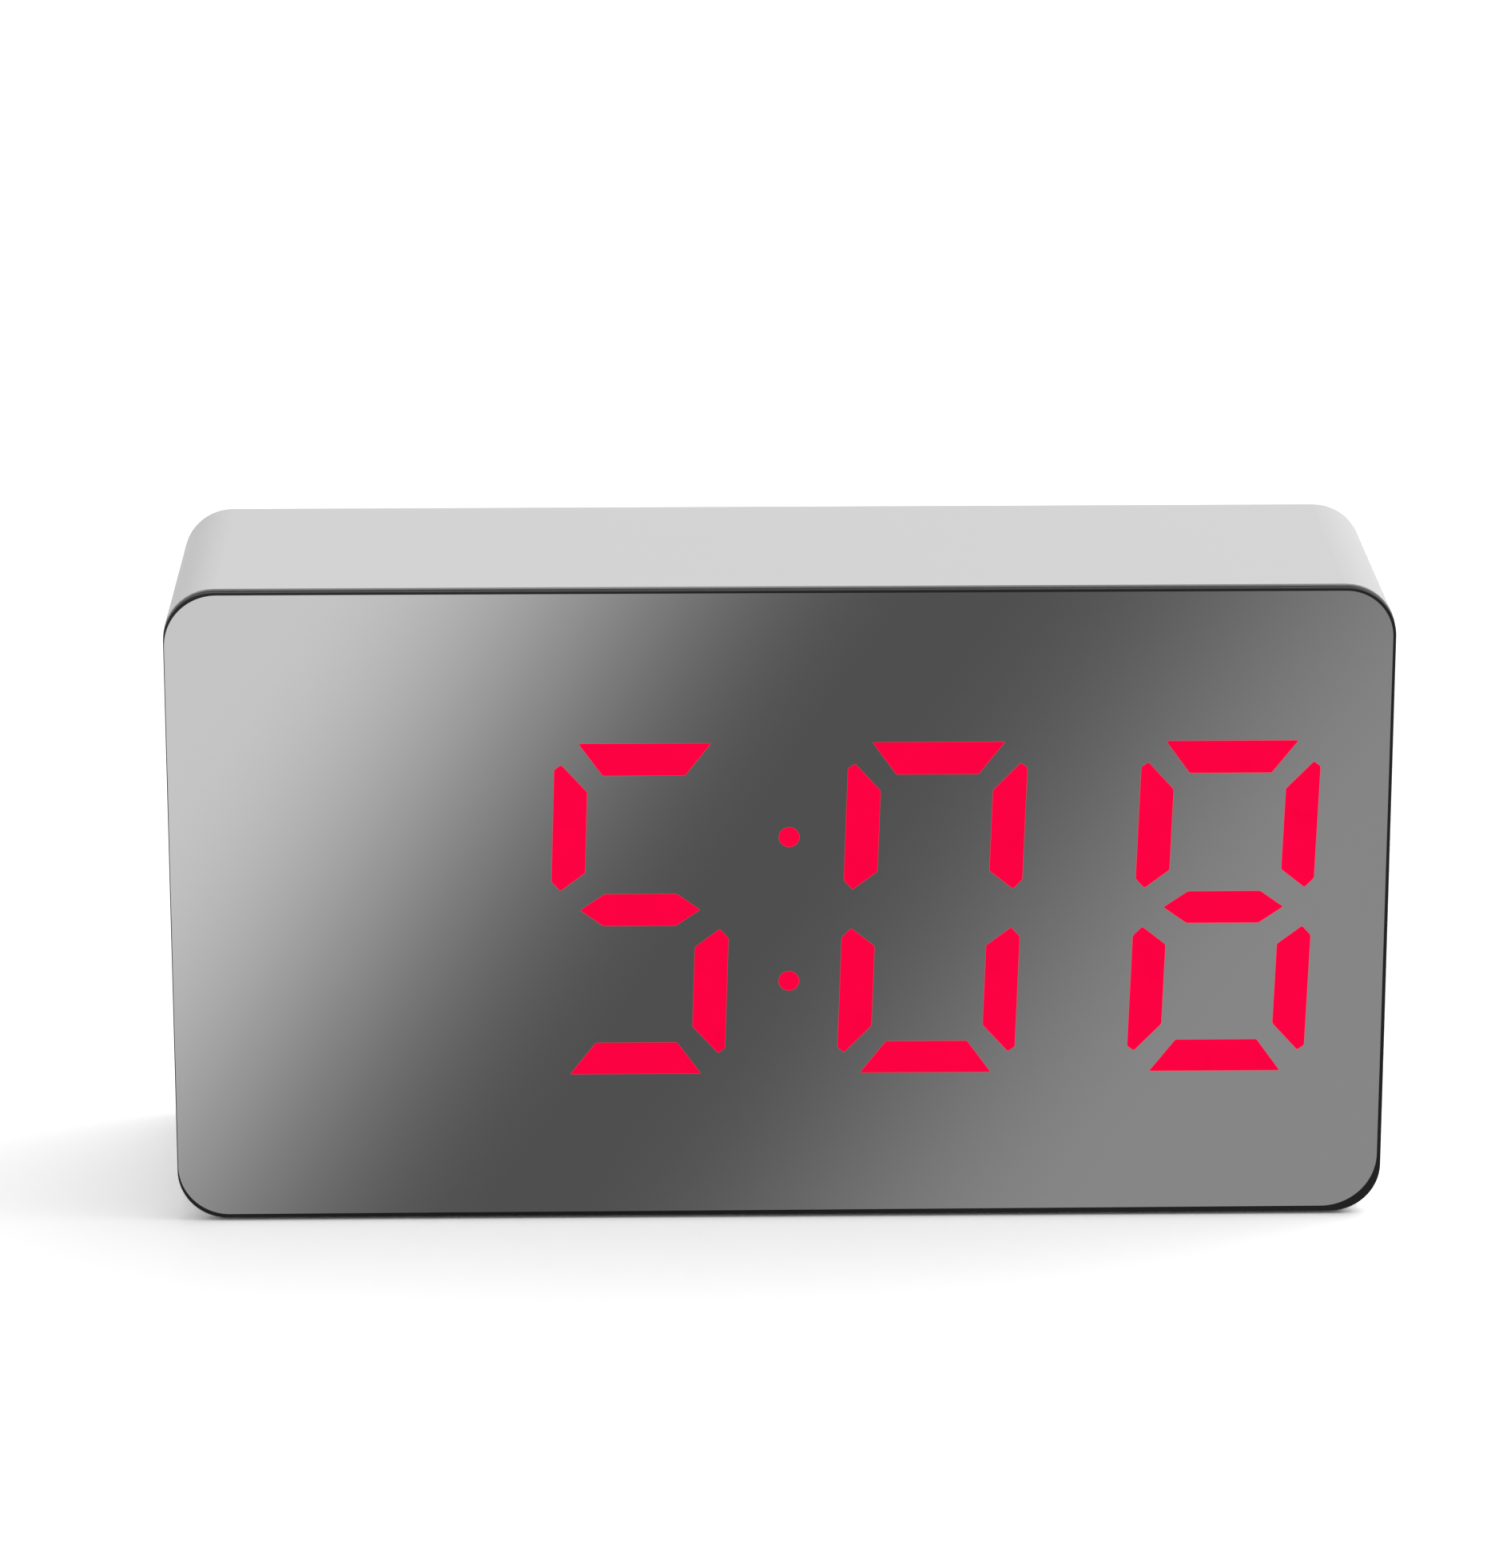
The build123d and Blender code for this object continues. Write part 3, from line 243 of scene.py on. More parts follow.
def place_along(tree, axis):
    """The frame's coordinate along an axis, in metres."""
    place = tree.nodes.new("ShaderNodeTexCoord").outputs["Object"]
    return add_node(tree, "ShaderNodeSeparateXYZ", Vector=place).outputs[axis]


def part_metal(name, colour, roughness, mask_of, metal=TIN):
    """Plastic or lacquer that turns to bare metal where a mask is 1."""
    material, tree, shader = new_material(name)
    look = skin(tree, colour, roughness, **FINE_SKIN)
    mask = mask_of(tree)
    bare = mixed(tree, mask, look["Colour"], opaque(metal))
    feed(tree, shader, Base_Color=bare, Roughness=look["Roughness"], Metallic=mask)
    feed(tree, shader, Normal=bump(tree, look["Height"], FINE_DEPTH))
    return material


print("mask tools ready")

# %% [markdown]
# The driver chip has tinned legs, the resistors have tinned ends, the capacitor is bare past its dark
# sleeve, and the inlet's tongue carries gilt strips. These pieces are small, so one mask each is
# enough, and the metal could hardly be told from modelled strips.

# %% Chips, resistors, capacitor and inlet
LEG_HEIGHT = 0.25 * MM
CAP_LENGTH = 0.3 * MM
SLEEVE_EDGE = 0.5 * MM
CONTACT_PITCH = 0.65 * MM
CONTACT_SHARE = 0.6


def driver_legs(tree):
    """The legs of the driver chip lie flat on its board."""
    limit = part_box("display_driver")[0].y + LEG_HEIGHT
    return math_node(tree, "LESS_THAN", place_along(tree, "Y"), limit)


def resistor_caps(tree):
    """Both ends of the chip resistors, which stand in one row."""
    low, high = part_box("chip_resistors")
    from_middle = math_node(tree, "SUBTRACT", place_along(tree, "Z"), (low.z + high.z) / 2)
    limit = (high.z - low.z) / 2 - CAP_LENGTH
    return math_node(tree, "GREATER_THAN", math_node(tree, "ABSOLUTE", from_middle), limit)


def can_top(tree):
    """The capacitor's bare end, past its dark sleeve."""
    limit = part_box("capacitor")[0].y + SLEEVE_EDGE
    return math_node(tree, "LESS_THAN", place_along(tree, "Y"), limit)


def tongue_contacts(tree):
    """Gilt strips side by side on the inlet's tongue."""
    low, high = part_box("inlet_tongue")
    from_middle = math_node(tree, "SUBTRACT", place_along(tree, "X"), (low.x + high.x) / 2)
    step = math_node(tree, "PINGPONG", math_node(tree, "DIVIDE", from_middle, CONTACT_PITCH / 2), 1.0)
    return math_node(tree, "LESS_THAN", step, CONTACT_SHARE)


own_finish = {
    "display_driver": part_metal("legged_chip", (0.03, 0.03, 0.032), 0.5, driver_legs),
    "chip_resistors": part_metal("capped_resistor", (0.03, 0.03, 0.035), 0.4, resistor_caps),
    "capacitor": part_metal("sleeved_can", (0.02, 0.025, 0.045), 0.3, can_top),
    "inlet_tongue": part_metal("contact_tongue", (0.02, 0.02, 0.02), 0.4, tongue_contacts, GOLD),
}
print("pieces with bare metal:", sorted(own_finish))

# %% [markdown]
# The cells lie head to tail, so their bands alternate. Counting rows from the lowest cell gives each
# row's turn, and the place along X times that turn runs from every cell's foot to its head.

# %% Battery cells
CELL_COUNT = 3
CELL_LENGTH = 44.5 * MM
BAND_LENGTH = 12.0 * MM
BARE_HEAD = 1.5 * MM
BARE_FOOT = 0.5 * MM
BAND_GREY = (0.6, 0.61, 0.63)
JACKET = dict(colour=(0.12, 0.15, 0.22), roughness=0.32, tint=0.03, patch=20.0, spread=0.03)


def cell_material():
    """Slate jacket with a pale band near the head, bare metal at both ends."""
    low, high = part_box("battery_cells")
    pitch = (high.z - low.z - (high.y - low.y)) / (CELL_COUNT - 1)
    material, tree, shader = new_material("cell_jacket")
    lift = math_node(tree, "SUBTRACT", place_along(tree, "Z"), low.z)
    row = math_node(tree, "FLOOR", math_node(tree, "DIVIDE", lift, pitch))
    turn = math_node(tree, "MULTIPLY_ADD", math_node(tree, "MODULO", row, 2.0), -2.0, 1.0)
    along = math_node(tree, "MULTIPLY", place_along(tree, "X"), turn)
    head = math_node(tree, "GREATER_THAN", along, high.x - BARE_HEAD)
    foot = math_node(tree, "LESS_THAN", along, high.x - CELL_LENGTH + BARE_FOOT)
    bare = math_node(tree, "MAXIMUM", head, foot)
    band = math_node(tree, "GREATER_THAN", along, high.x - BAND_LENGTH)
    look = skin(tree, **JACKET)
    printed = mixed(tree, band, look["Colour"], opaque(BAND_GREY))
    feed(tree, shader, Base_Color=mixed(tree, bare, printed, opaque(TIN)), Metallic=bare)
    feed(tree, shader, Roughness=look["Roughness"])
    return material


finishes["cell_jacket"] = cell_material()
print("cells:", CELL_COUNT)

# %% [markdown]
# The boards carry copper under a green lacquer, which shows as paler lines, and tinned spots where the
# lacquer is left open. A brick pattern's joints make good tracks, since they run straight and turn at
# right angles. The lengths are in millimetres, as the pattern's scale is.

# %% Circuit boards
TRACK_LENGTH = 6.0
TRACK_STEP = 1.4
TRACK_WIDTH = 0.16
TRACK_SOFTNESS = 0.2
TRACK_RISE = 0.02
TRACK_GREEN = (0.06, 0.33, 0.14)
SPOT_STEP = 3.5
SPOT_SHARE = 0.1
SPOT_SCATTER = 0.7
LACQUER = dict(colour=(0.02, 0.17, 0.07), roughness=0.33, tint=0.08, patch=4.0, spread=0.05)


def board_material():
    """Green lacquer over copper tracks, with tinned spots."""
    material, tree, shader = new_material("circuit_board")
    flat = add_node(tree, "ShaderNodeCombineXYZ", X=place_along(tree, "X"), Y=place_along(tree, "Z"))
    tracks = add_node(tree, "ShaderNodeTexBrick", Vector=flat.outputs[0], Scale=1 / MM)
    feed(tree, tracks, Brick_Width=TRACK_LENGTH, Row_Height=TRACK_STEP)
    feed(tree, tracks, Mortar_Size=TRACK_WIDTH, Mortar_Smooth=TRACK_SOFTNESS)
    spots = add_node(tree, "ShaderNodeTexVoronoi", {"voronoi_dimensions": "2D"}, Vector=flat.outputs[0],
                     Scale=1 / (SPOT_STEP * MM), Randomness=SPOT_SCATTER)
    bare = math_node(tree, "LESS_THAN", spots.outputs["Distance"], SPOT_SHARE)
    look = skin(tree, **LACQUER)
    green = mixed(tree, tracks.outputs["Fac"], look["Colour"], opaque(TRACK_GREEN))
    feed(tree, shader, Base_Color=mixed(tree, bare, green, opaque(TIN)), Metallic=bare)
    feed(tree, shader, Roughness=look["Roughness"], Normal=bump(tree, tracks.outputs["Fac"], TRACK_RISE))
    return material


finishes["circuit_board"] = board_material()
print("tracks every", TRACK_STEP, "mm")

# %% [markdown]
# The ribbon cable is a row of round wires side by side, and the first one is marked red. A sine across
# the cable, once up and down for each wire, gives the ribs.

# %% Ribbon cable
RIBBON_WIRES = 8
RIB_HEIGHT = 0.15
MARK_RED = (0.5, 0.04, 0.04)
SHEATH = dict(colour=(0.5, 0.5, 0.51), roughness=0.5, tint=0.04, patch=2.0, spread=0.05)


def ribbon_material():
    """Grey ribs, one for each wire, and a red one along the edge."""
    low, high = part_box("ribbon_cable")
    material, tree, shader = new_material("ribbon_grey")
    from_edge = math_node(tree, "SUBTRACT", place_along(tree, "X"), low.x)
    wire = math_node(tree, "DIVIDE", from_edge, (high.x - low.x) / RIBBON_WIRES)
    rib = math_node(tree, "ABSOLUTE", math_node(tree, "SINE", math_node(tree, "MULTIPLY", wire, math.pi)))
    marked = math_node(tree, "LESS_THAN", wire, 1.0)
    look = skin(tree, **SHEATH)
    feed(tree, shader, Base_Color=mixed(tree, marked, look["Colour"], opaque(MARK_RED)))
    feed(tree, shader, Roughness=look["Roughness"], Normal=bump(tree, rib, RIB_HEIGHT))
    return material


finishes["ribbon_grey"] = ribbon_material()
print("wires in the ribbon:", RIBBON_WIRES)

# %% [markdown]
# ## The half-mirror and the light in it
# The front is clear acrylic with a thin metal coating. It reflects a good half of what is before it,
# and behind it everything that isn't lit is black. A see-through coating over shining lenses could be
# traced as glass, but then the room's reflection would wash over the digits. The coating is left open
# over the segments here, and a thin lens glows in each opening.

# %% Mirror and light materials
COAT = dict(colour=(0.6, 0.597, 0.6), roughness=0.03, tint=0.01, patch=40.0, spread=0.01)
GLOW = dict(colour=(0.975, 0.0006, 0.0545), roughness=0.5, tint=0.02, patch=4.0, spread=0.05)
PRINT = dict(colour=(0.008, 0.008, 0.009), roughness=0.5, tint=0.15, patch=3.0, spread=0.05, grain=0.1)
UNLIT = (0.0, 0.0, 0.0)
PRINT_DEPTH = 0.001
PRINT_GLOSS = 0.3


def mirror_material():
    """Thin metal coat, as smooth as the panel it lies on."""
    material, tree, shader = new_material("half_mirror")
    look = skin(tree, **COAT)
    feed(tree, shader, Base_Color=look["Colour"], Roughness=look["Roughness"], Metallic=1.0)
    return material


def light_material():
    """Red light of a segment, a little uneven from its lamp."""
    material, tree, shader = new_material("lit_red")
    look = skin(tree, **GLOW)
    feed(tree, shader, Emission_Color=look["Colour"], Emission_Strength=1.0)
    feed(tree, shader, Base_Color=opaque(UNLIT), Roughness=look["Roughness"], Specular_IOR_Level=0.0)
    return material


def edge_material():
    """Black print behind the panel's clear border, with hardly any gloss."""
    material = moulded("black_edge", PRINT_DEPTH, **PRINT)
    tree = material.node_tree
    feed(tree, tree.nodes["Principled BSDF"], Specular_IOR_Level=PRINT_GLOSS)
    return material


finishes["half_mirror"] = mirror_material()
finishes["lit_red"] = light_material()
finishes["black_edge"] = edge_material()
print("finishes in all:", len(finishes))

# %% [markdown]
# Now every solid gets its finish. A node with a finish of its own takes that one, and any other node
# takes the finish that the record names for it. The solids keep their meshes and places.

# %% Dress the solids
for part in frame["record"]["subparts"]:
    finish = own_finish.get(part["node"], finishes[part["material_slot"]])
    frame["nodes"][part["node"]].material_slots[0].material = finish

# %% [markdown]
# ## The mirror panel
# The panel is a plate with rounded corners and a small chamfer. Its front face is cut along the lit
# segments, so each window is a patch of the same face without the coat. The outlines come from the
# lenses behind: the front corners of each lens, in order round its middle.

# %% Front faces of the lenses
MERGE_DISTANCE = 0.001 * MM
FACE_DEPTH = 0.01 * MM


def islands(node):
    """Vertex places of each separate solid in a node's mesh."""
    mesh = bmesh.new()
    mesh.from_mesh(frame["nodes"][node].data)
    bmesh.ops.remove_doubles(mesh, verts=mesh.verts, dist=MERGE_DISTANCE)
    left = set(mesh.verts)
    groups = []
    while left:
        group = [left.pop()]
        for vert in group:
            for edge in vert.link_edges:
                other = edge.other_vert(vert)
                if other in left:
                    left.remove(other)
                    group.append(other)
        groups.append([vert.co.copy() for vert in group])
    mesh.free()
    return groups


def middle_of(points):
    """The mean of points in a plane."""
    return sum(points, Vector((0, 0))) / len(points)


def front_outline(places):
    """Corners of a solid's front face as (x, z), in order round their middle."""
    front = min(place.y for place in places)
    corners = [place.xz for place in places if place.y < front + FACE_DEPTH]
    middle = middle_of(corners)
    return sorted(corners, key=lambda c: math.atan2(c.y - middle.y, c.x - middle.x))


print("lens corners:", len(front_outline(islands("digit_4_lit_segments")[0])))

# %% [markdown]
# Light spreads a little between lens and mirror, so a lit window is a hair larger than its lens and
# its corners are soft. Each outline is grown and its corners become short curves, and the colon's
# dots become true circles.

# %% Outlines of the lit windows
LIT_NODES = ("digit_2_lit_segments", "digit_3_lit_segments", "digit_4_lit_segments")
WINDOW_GROWTH = 0.09 * MM
WINDOW_ROUNDING = 0.15 * MM
ROUNDING_STEPS = 5
DOT_STEPS = 40


def grown(corners, amount):
    """An outline whose sides are all moved outwards by an amount."""
    moved = []
    for index, corner in enumerate(corners):
        before = (corner - corners[index - 1]).normalized()
        after = (corners[(index + 1) % len(corners)] - corner).normalized()
        first_normal = Vector((before.y, -before.x))
        second_normal = Vector((after.y, -after.x))
        mitre = first_normal + second_normal
        moved.append(corner + mitre * amount / (1 + first_normal.dot(second_normal)))
    return moved


def rounded(corners, radius):
    """An outline with each corner turned into a short curve."""
    points = []
    for index, corner in enumerate(corners):
        before = corners[index - 1]
        after = corners[(index + 1) % len(corners)]
        start = corner + (before - corner).normalized() * radius
        end = corner + (after - corner).normalized() * radius
        for step in range(ROUNDING_STEPS):
            t = step / (ROUNDING_STEPS - 1)
            points.append(start * (1 - t) ** 2 + corner * 2 * t * (1 - t) + end * t**2)
    return points


def round_window(rim):
    """A circle a little larger than the rim of a dot's lens."""
    middle = middle_of(rim)
    radius = max((corner - middle).length for corner in rim) + WINDOW_GROWTH
    turns = [math.tau * step / DOT_STEPS for step in range(DOT_STEPS)]
    return [middle + radius * Vector((math.cos(turn), math.sin(turn))) for turn in turns]


windows = []
for node in LIT_NODES:
    for places in islands(node):
        windows.append(rounded(grown(front_outline(places), WINDOW_GROWTH), WINDOW_ROUNDING))
for places in islands("colon_dots"):
    windows.append(round_window(front_outline(places)))
print("lit windows:", len(windows), "with points:", sum(len(window) for window in windows))

# %% [markdown]
# The coat stops a little short of the panel's edge, and there the black behind it shows as a line. It
# isn't even: the coat sits a little high and to the left, so the line is thin on the left and thick
# at the lower right corner. Each corner of the coat has its own inset in x and z and its own radius.

# %% Outlines of the panel and its coat
MIRROR_CORNER = 4.3 * MM
MIRROR_CHAMFER = 0.06 * MM
CORNER_STEPS = 20
COAT_CORNERS = {
    "upper right": (0.27, 0.25, 4.1),
    "upper left": (0.08, 0.22, 4.5),
    "lower left": (0.08, 0.34, 4.4),
    "lower right": (0.34, 0.5, 4.8),
}


def rounded_outline(low, high, corners):
    """Points of a rectangle, each corner with its own inset in x and z and its own radius."""
    points = []
    signs = ((1, 1), (-1, 1), (-1, -1), (1, -1))
    for quarter, (sign_x, sign_z) in enumerate(signs):
        inset_x, inset_z, radius = corners[quarter]
        x = (high[0] if sign_x > 0 else low[0]) - sign_x * (inset_x + radius)
        z = (high[1] if sign_z > 0 else low[1]) - sign_z * (inset_z + radius)
        for step in range(CORNER_STEPS + 1):
            angle = math.pi / 2 * (quarter + step / CORNER_STEPS)
            points.append(Vector((x + radius * math.cos(angle), z + radius * math.sin(angle))))
    return points


panel_low, panel_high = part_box("mirror_panel")
panel_box = (panel_low.xz, panel_high.xz)
edge_corner = (MIRROR_CHAMFER, MIRROR_CHAMFER, MIRROR_CORNER - MIRROR_CHAMFER)
coat_corners = [[value * MM for value in corner] for corner in COAT_CORNERS.values()]
panel_front = rounded_outline(*panel_box, [edge_corner] * 4)
panel_rim = rounded_outline(*panel_box, [(0, 0, MIRROR_CORNER)] * 4)
coat_outline = rounded_outline(*panel_box, coat_corners)
print("panel in mm:", [round(value / MM, 2) for corner in panel_box for value in corner])

# %% [markdown]
# A plane face with holes could be cut with booleans, which are slow and leave long slivers. A
# constrained triangulation takes the outlines as edges that must stay, and fills them all at once.
# Each triangle then gets its finish: mirror inside the coat, black outside it and in the windows.

# %% Front face with windows
PANEL_FINISHES = ("half_mirror", "black_edge")
COATED, BLACK = range(len(PANEL_FINISHES))
FILL_ALL = 0
SAME_POINT = 1e-9


def inside(point, outline):
    """True if a point lies in a convex outline given counter-clockwise."""
    pairs = zip(outline, outline[1:] + outline[:1])
    return all((b - a).cross(point - a) >= 0 for a, b in pairs)


def finish_at(place):
    """Which of the panel's finishes its front has at a place."""
    if any(inside(place, window) for window in windows):
        return BLACK
    return COATED if inside(place, coat_outline) else BLACK


def filled_face():
    """Points and triangles of the panel's front, cut along all outlines."""
    loops = [panel_front, coat_outline] + windows
    flat = [point for loop in loops for point in loop]
    edges = []
    for loop in loops:
        base = len(edges)
        edges += [(base + i, base + (i + 1) % len(loop)) for i in range(len(loop))]
    points, _, faces, *_ = geometry.delaunay_2d_cdt(flat, edges, [], FILL_ALL, SAME_POINT)
    return points, faces


print("finish in the middle of the panel:", PANEL_FINISHES[finish_at(middle_of(panel_front))])

# %% [markdown]
# The face gets a chamfer, an edge and a back, so that the panel is a closed plate as the solid is. The
# first points of the fill are those of the panel's front, in order, so the chamfer starts from them.

# %% Mirror panel
def band_between(mesh, first, second):
    """Faces from one closed row of vertices to the next."""
    faces = []
    for i in range(len(first)):
        j = (i + 1) % len(first)
        faces.append(mesh.faces.new((first[i], first[j], second[j], second[i])))
    return faces


def finished_mesh(mesh, name):
    """Turns all faces outwards and makes the mesh ready for an object."""
    bmesh.ops.recalc_face_normals(mesh, faces=mesh.faces)
    data = bpy.data.meshes.new(name)
    mesh.to_mesh(data)
    mesh.free()
    return data


def mirror_mesh():
    """The closed plate, with the finish of each face."""
    points, faces = filled_face()
    mesh = bmesh.new()
    made = [mesh.verts.new((p.x, panel_low.y, p.y)) for p in points]
    for corners in faces:
        face = mesh.faces.new([made[i] for i in corners])
        face.material_index = finish_at(middle_of([points[i] for i in corners]))
    rings = [made[: len(panel_front)]]
    for depth in (panel_low.y + MIRROR_CHAMFER, panel_high.y):
        rings.append([mesh.verts.new((p.x, depth, p.y)) for p in panel_rim])
    for first, second in zip(rings, rings[1:]):
        for face in band_between(mesh, first, second):
            face.material_index = BLACK
    mesh.faces.new(rings[-1]).material_index = BLACK
    return finished_mesh(mesh, "mirror_face")


def add_piece(name, data):
    """An object in the scene, with its mesh, lamp or camera."""
    piece = bpy.data.objects.new(name, data)
    bpy.context.scene.collection.objects.link(piece)
    return piece


mirror_face = add_piece("mirror_face", mirror_mesh())
for finish in PANEL_FINISHES:
    mirror_face.data.materials.append(finishes[finish])
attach(mirror_face, "clock_body")
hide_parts("mirror_panel")
print("mirror faces:", len(mirror_face.data.polygons))

# %% [markdown]
# The light is a thin lens in each window, a hair proud of the mirror. The panel's own patches could
# glow as well, but a piece by itself can be left out of the rays that light the table: the segments
# are far too weak to redden it.

# %% Lit windows
LENS_PROUD = 0.01 * MM
LENS_DEPTH = 0.04 * MM


def lens_mesh():
    """A closed plate in each window."""
    mesh = bmesh.new()
    for window in windows:
        front = [mesh.verts.new((p.x, panel_low.y - LENS_PROUD, p.y)) for p in window]
        back = [mesh.verts.new((p.x, panel_low.y + LENS_DEPTH, p.y)) for p in window]
        mesh.faces.new(front)
        mesh.faces.new(back)
        band_between(mesh, front, back)
    return finished_mesh(mesh, "lit_windows")


lit_windows = add_piece("lit_windows", lens_mesh())
lit_windows.data.materials.append(finishes["lit_red"])
lit_windows.visible_diffuse = False
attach(lit_windows, "clock_body")
print("lit lenses:", len(windows))

# %% [markdown]
# ## The studio
# The clock stands on a white floor under soft light from the right, and the air behind it is white.
# The floor keeps the shadow: to the camera it is brighter than white paper, so that it is white
# where no shadow falls.

# %% Floor and backdrop light
FLOOR_SIZE = 8.0
FLOOR_WHITE = 0.85
FLOOR_SEEN = 1.64
AMBIENT = 0.46
AIR_WHITE = (1.0, 1.0, 1.0)


def seen_directly(tree):
    """1 for rays from the camera, off a gloss or through glass."""
    path = tree.nodes.new("ShaderNodeLightPath").outputs
    gloss = math_node(tree, "MAXIMUM", path["Is Camera Ray"], path["Is Glossy Ray"])
    return math_node(tree, "MAXIMUM", gloss, path["Is Transmission Ray"])


def level_where_seen(tree, unseen, seen):
    """One level for the rays that carry light, and another for those that see."""
    return add_node(tree, "ShaderNodeMapRange", Value=seen_directly(tree), To_Min=unseen,
                    To_Max=seen).outputs[0]


def add_floor():
    """A plain level floor."""
    material, tree, shader = new_material("studio_floor")
    white = level_where_seen(tree, FLOOR_WHITE, FLOOR_SEEN)
    feed(tree, shader, Base_Color=white, Roughness=1.0, Specular_IOR_Level=0.0)
    half = FLOOR_SIZE / 2
    corners = [(-half, -half, 0), (half, -half, 0), (half, half, 0), (-half, half, 0)]
    data = bpy.data.meshes.new("studio_floor")
    data.from_pydata(corners, [], [(0, 1, 2, 3)])
    data.materials.append(material)
    add_piece("studio_floor", data)


def add_world():
    """Even light from all sides, white where it is seen."""
    world = bpy.data.worlds.new("studio_air")
    world.use_nodes = True
    tree = world.node_tree
    strength = level_where_seen(tree, AMBIENT, 1.0)
    feed(tree, tree.nodes["Background"], Color=opaque(AIR_WHITE), Strength=strength)
    bpy.context.scene.world = world


add_floor()
add_world()
print("floor and air ready")

# %% [markdown]
# The key light is as wide as a window, so the shadow has no edge. A sun lamp with a large angle lights
# the whole floor evenly, where a panel lamp alone would leave its far corners grey. A weak panel lamp
# near the clock is added on the right, because a near lamp fades across the case and a far one can't.

# %% Lights
KEY_STRENGTH = 0.8
KEY_ANGLE = math.radians(70)
KEY_FROM = Vector((0.52, 0.32, 1.0))
PANEL_POWER = 0.75
PANEL_SIZE = 0.5
PANEL_PLACE = Vector((0.5, 0.1, 0.55))


def add_lamp(name, kind, power, place):
    """A lamp at a place, turned to the clock."""
    lamp = bpy.data.lights.new(name, kind)
    lamp.energy = power
    holder = add_piece(name, lamp)
    holder.location = place
    holder.rotation_euler = place.to_track_quat("Z", "Y").to_euler()
    return lamp


window_light = add_lamp("window_light", "SUN", KEY_STRENGTH, KEY_FROM)
window_light.angle = KEY_ANGLE
panel_light = add_lamp("panel_light", "AREA", PANEL_POWER, PANEL_PLACE)
panel_light.size = PANEL_SIZE
print("lamps ready")

# %% [markdown]
# ## The camera
# The photograph was taken from a little above, close to the middle, with a long lens. The lens and
# the place were found by matching the corners of the mirror.

# %% Camera
CAMERA_AZIMUTH = math.radians(-1.016)
CAMERA_ELEVATION = math.radians(16.775)
CAMERA_DISTANCE = 542.7 * MM
AIM_ASIDE = -2.65 * MM
AIM_HEIGHT = 39.28 * MM
FOCAL_LENGTH = 145.6
NEAR_LIMIT = 10 * MM


def add_camera():
    """The camera, turned to a place on the plane of the mirror."""
    data = bpy.data.cameras.new("camera")
    data.lens = FOCAL_LENGTH
    data.clip_start = NEAR_LIMIT
    level_reach = math.cos(CAMERA_ELEVATION)
    backwards = Vector((
        math.sin(CAMERA_AZIMUTH) * level_reach,
        -math.cos(CAMERA_AZIMUTH) * level_reach,
        math.sin(CAMERA_ELEVATION),
    ))
    target = Vector((AIM_ASIDE, panel_low.y, panel_low.z + AIM_HEIGHT))
    holder = add_piece("camera", data)
    holder.location = target + backwards * CAMERA_DISTANCE
    holder.rotation_euler = backwards.to_track_quat("Z", "Y").to_euler()
    bpy.context.scene.camera = holder
    return holder


camera = add_camera()
print("camera in mm:", [round(value / MM, 1) for value in camera.location])

# %% [markdown]
# ## What the mirror sees
# Seen from above, the mirror shows the table before the clock. A grey board with a soft sweep of tone
# lies there in a studio, so that the mirror reads as a mirror and the digits stand out. The camera
# doesn't see the board itself: only reflections do. Its tone falls from bright to dark and rises to
# grey again, each in one smooth step between two places in millimetres, and the tones are levels as
# a screen shows them, from 0 to 1. Towards its border the board turns clear and the white table
# takes over, so that no hard edge shows in the mirror from any side.

# %% Tones of the board
BRIGHT = 0.767
DARK = 0.3155
GREY = 0.521
FALL = (-79.0, -24.0)
RISE = (-20.0, 27.0)
SCREEN_GAMMA = 2.2


def smooth_step(tree, value, limits, first, last):
    """A level that goes smoothly from first to last between two limits."""
    settings = {"interpolation_type": "SMOOTHSTEP"}
    levels = {"From_Min": limits[0], "From_Max": limits[1], "To_Min": first, "To_Max": last}
    return add_node(tree, "ShaderNodeMapRange", settings, Value=value, **levels).outputs[0]


def attribute(tree, name):
    """A value that the mesh keeps at its vertices."""
    return add_node(tree, "ShaderNodeAttribute", {"attribute_name": name}).outputs["Fac"]


def tone_material(mirror_share):
    """Tone that looks as written once the coat has taken its share of the light."""
    material, tree, shader = new_material("tone_board")
    tree.nodes.remove(shader)
    sweep = attribute(tree, "sweep")
    fall = smooth_step(tree, sweep, FALL, BRIGHT, DARK)
    rise = smooth_step(tree, sweep, RISE, 0.0, GREY - DARK)
    light = math_node(tree, "POWER", math_node(tree, "ADD", fall, rise), SCREEN_GAMMA)
    glow = add_node(tree, "ShaderNodeEmission", Strength=math_node(tree, "DIVIDE", light, mirror_share))
    clear = tree.nodes.new("ShaderNodeBsdfTransparent")
    fade = smooth_step(tree, attribute(tree, "border"), (0.0, 1.0), 0.0, 1.0)
    faded = add_node(tree, "ShaderNodeMixShader", _0=fade, _1=glow.outputs[0], _2=clear.outputs[0])
    feed(tree, tree.nodes["Material Output"], Surface=faded.outputs[0])
    return material


print("tones:", BRIGHT, DARK, GREY)

# %% [markdown]
# The tone runs along slanted lines across the mirror. So the board is drawn as a mesh of places on
# the mirror's plane, each carried down to the table along its reflected ray, and each place keeps how
# far it lies across the slanted lines and how near it is to the border. The board is laid out once,
# for the place of the photograph, and lies there unchanged when the clock is seen from elsewhere.

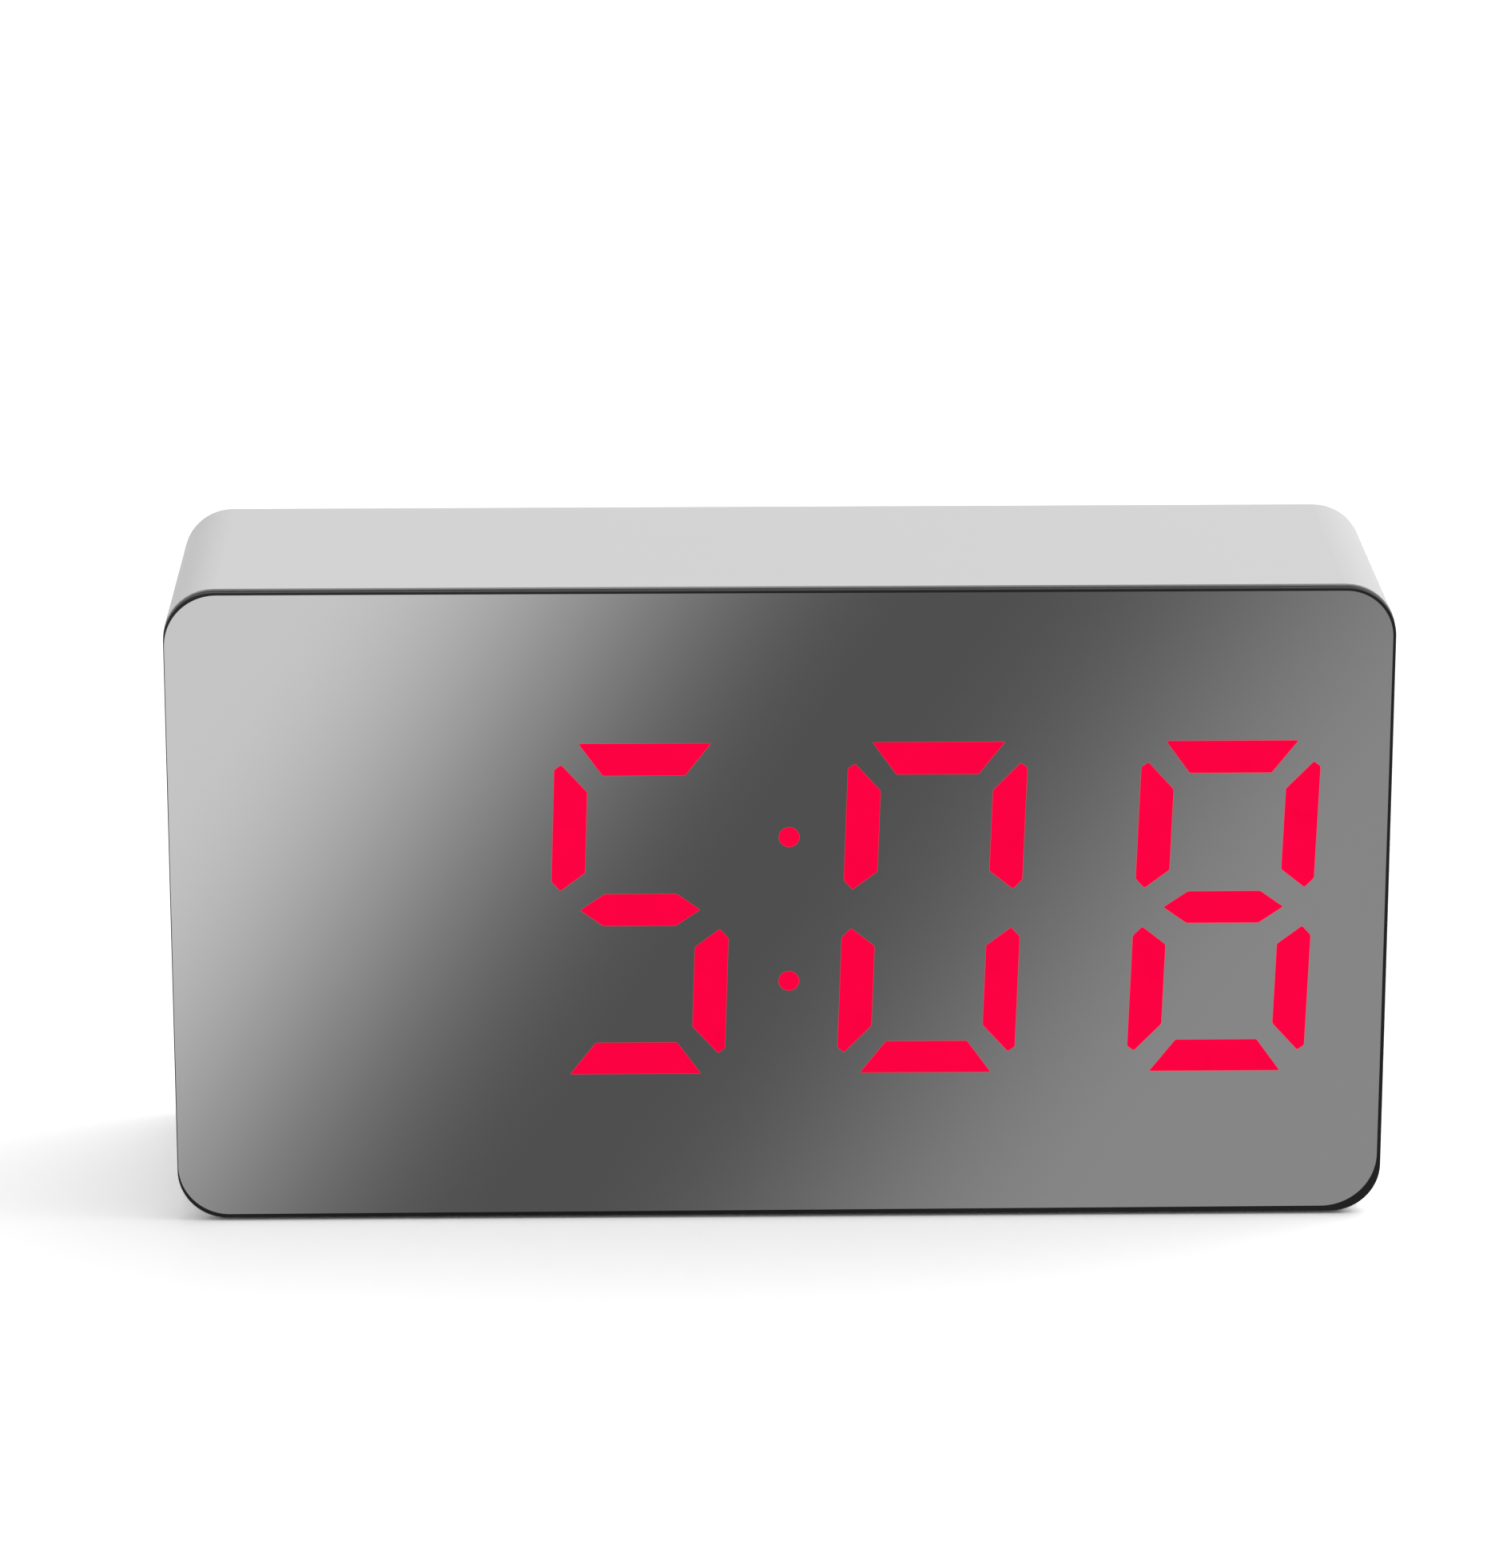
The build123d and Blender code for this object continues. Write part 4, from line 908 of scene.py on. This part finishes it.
# %% Tone board before the mirror
BOARD_LIFT = 0.2 * MM
BOARD_HALF_WIDTH = 250 * MM
BOARD_TOP = 120 * MM
BOARD_COLUMNS = 60
BOARD_ROWS = 24
FULL_HALF_WIDTH = 100 * MM
FULL_TOP = 80 * MM
SLANT = 0.66


def share_past(value, start, end):
    """How far a value is on its way from start to end, below 0 before the start."""
    return (value - start) / (end - start)


def board_places():
    """Places on the table, with their sweep and border values, row by row."""
    eye = camera.location
    reach = panel_low.y - eye.y
    for row in range(BOARD_ROWS + 1):
        z = BOARD_TOP * row / BOARD_ROWS
        stretch = eye.z / (eye.z - z)
        y = panel_low.y - reach * (stretch - 1)
        for column in range(BOARD_COLUMNS + 1):
            x = BOARD_HALF_WIDTH * (2 * column / BOARD_COLUMNS - 1)
            place = (eye.x + (x - eye.x) * stretch, y, BOARD_LIFT)
            sweep = (x - SLANT * (z - panel_low.z)) / MM
            aside = share_past(abs(x), FULL_HALF_WIDTH, BOARD_HALF_WIDTH)
            yield place, sweep, max(aside, share_past(z, FULL_TOP, BOARD_TOP))


def board_faces():
    """Corners of each face, as numbers of places."""
    width = BOARD_COLUMNS + 1
    for row in range(BOARD_ROWS):
        for column in range(BOARD_COLUMNS):
            corner = row * width + column
            yield corner, corner + 1, corner + width + 1, corner + width


def add_tone_board():
    """The board on the table, which only reflections see."""
    places, sweep, border = zip(*board_places())
    data = bpy.data.meshes.new("tone_board")
    data.from_pydata(places, [], list(board_faces()))
    for name, values in {"sweep": sweep, "border": border}.items():
        data.attributes.new(name, "FLOAT", "POINT").data.foreach_set("value", values)
    data.materials.append(tone_material(COAT["colour"][0]))
    board = add_piece("tone_board", data)
    board.visible_camera = False
    board.visible_diffuse = False
    board.visible_shadow = False
    board.visible_transmission = False
    return board


tone_board = add_tone_board()
print("tone board faces:", len(tone_board.data.polygons))

# %% [markdown]
# ## View settings
# Colours go to the picture as they are, with the standard transform.

# %% Finish
bpy.context.scene.view_settings.view_transform = "Standard"
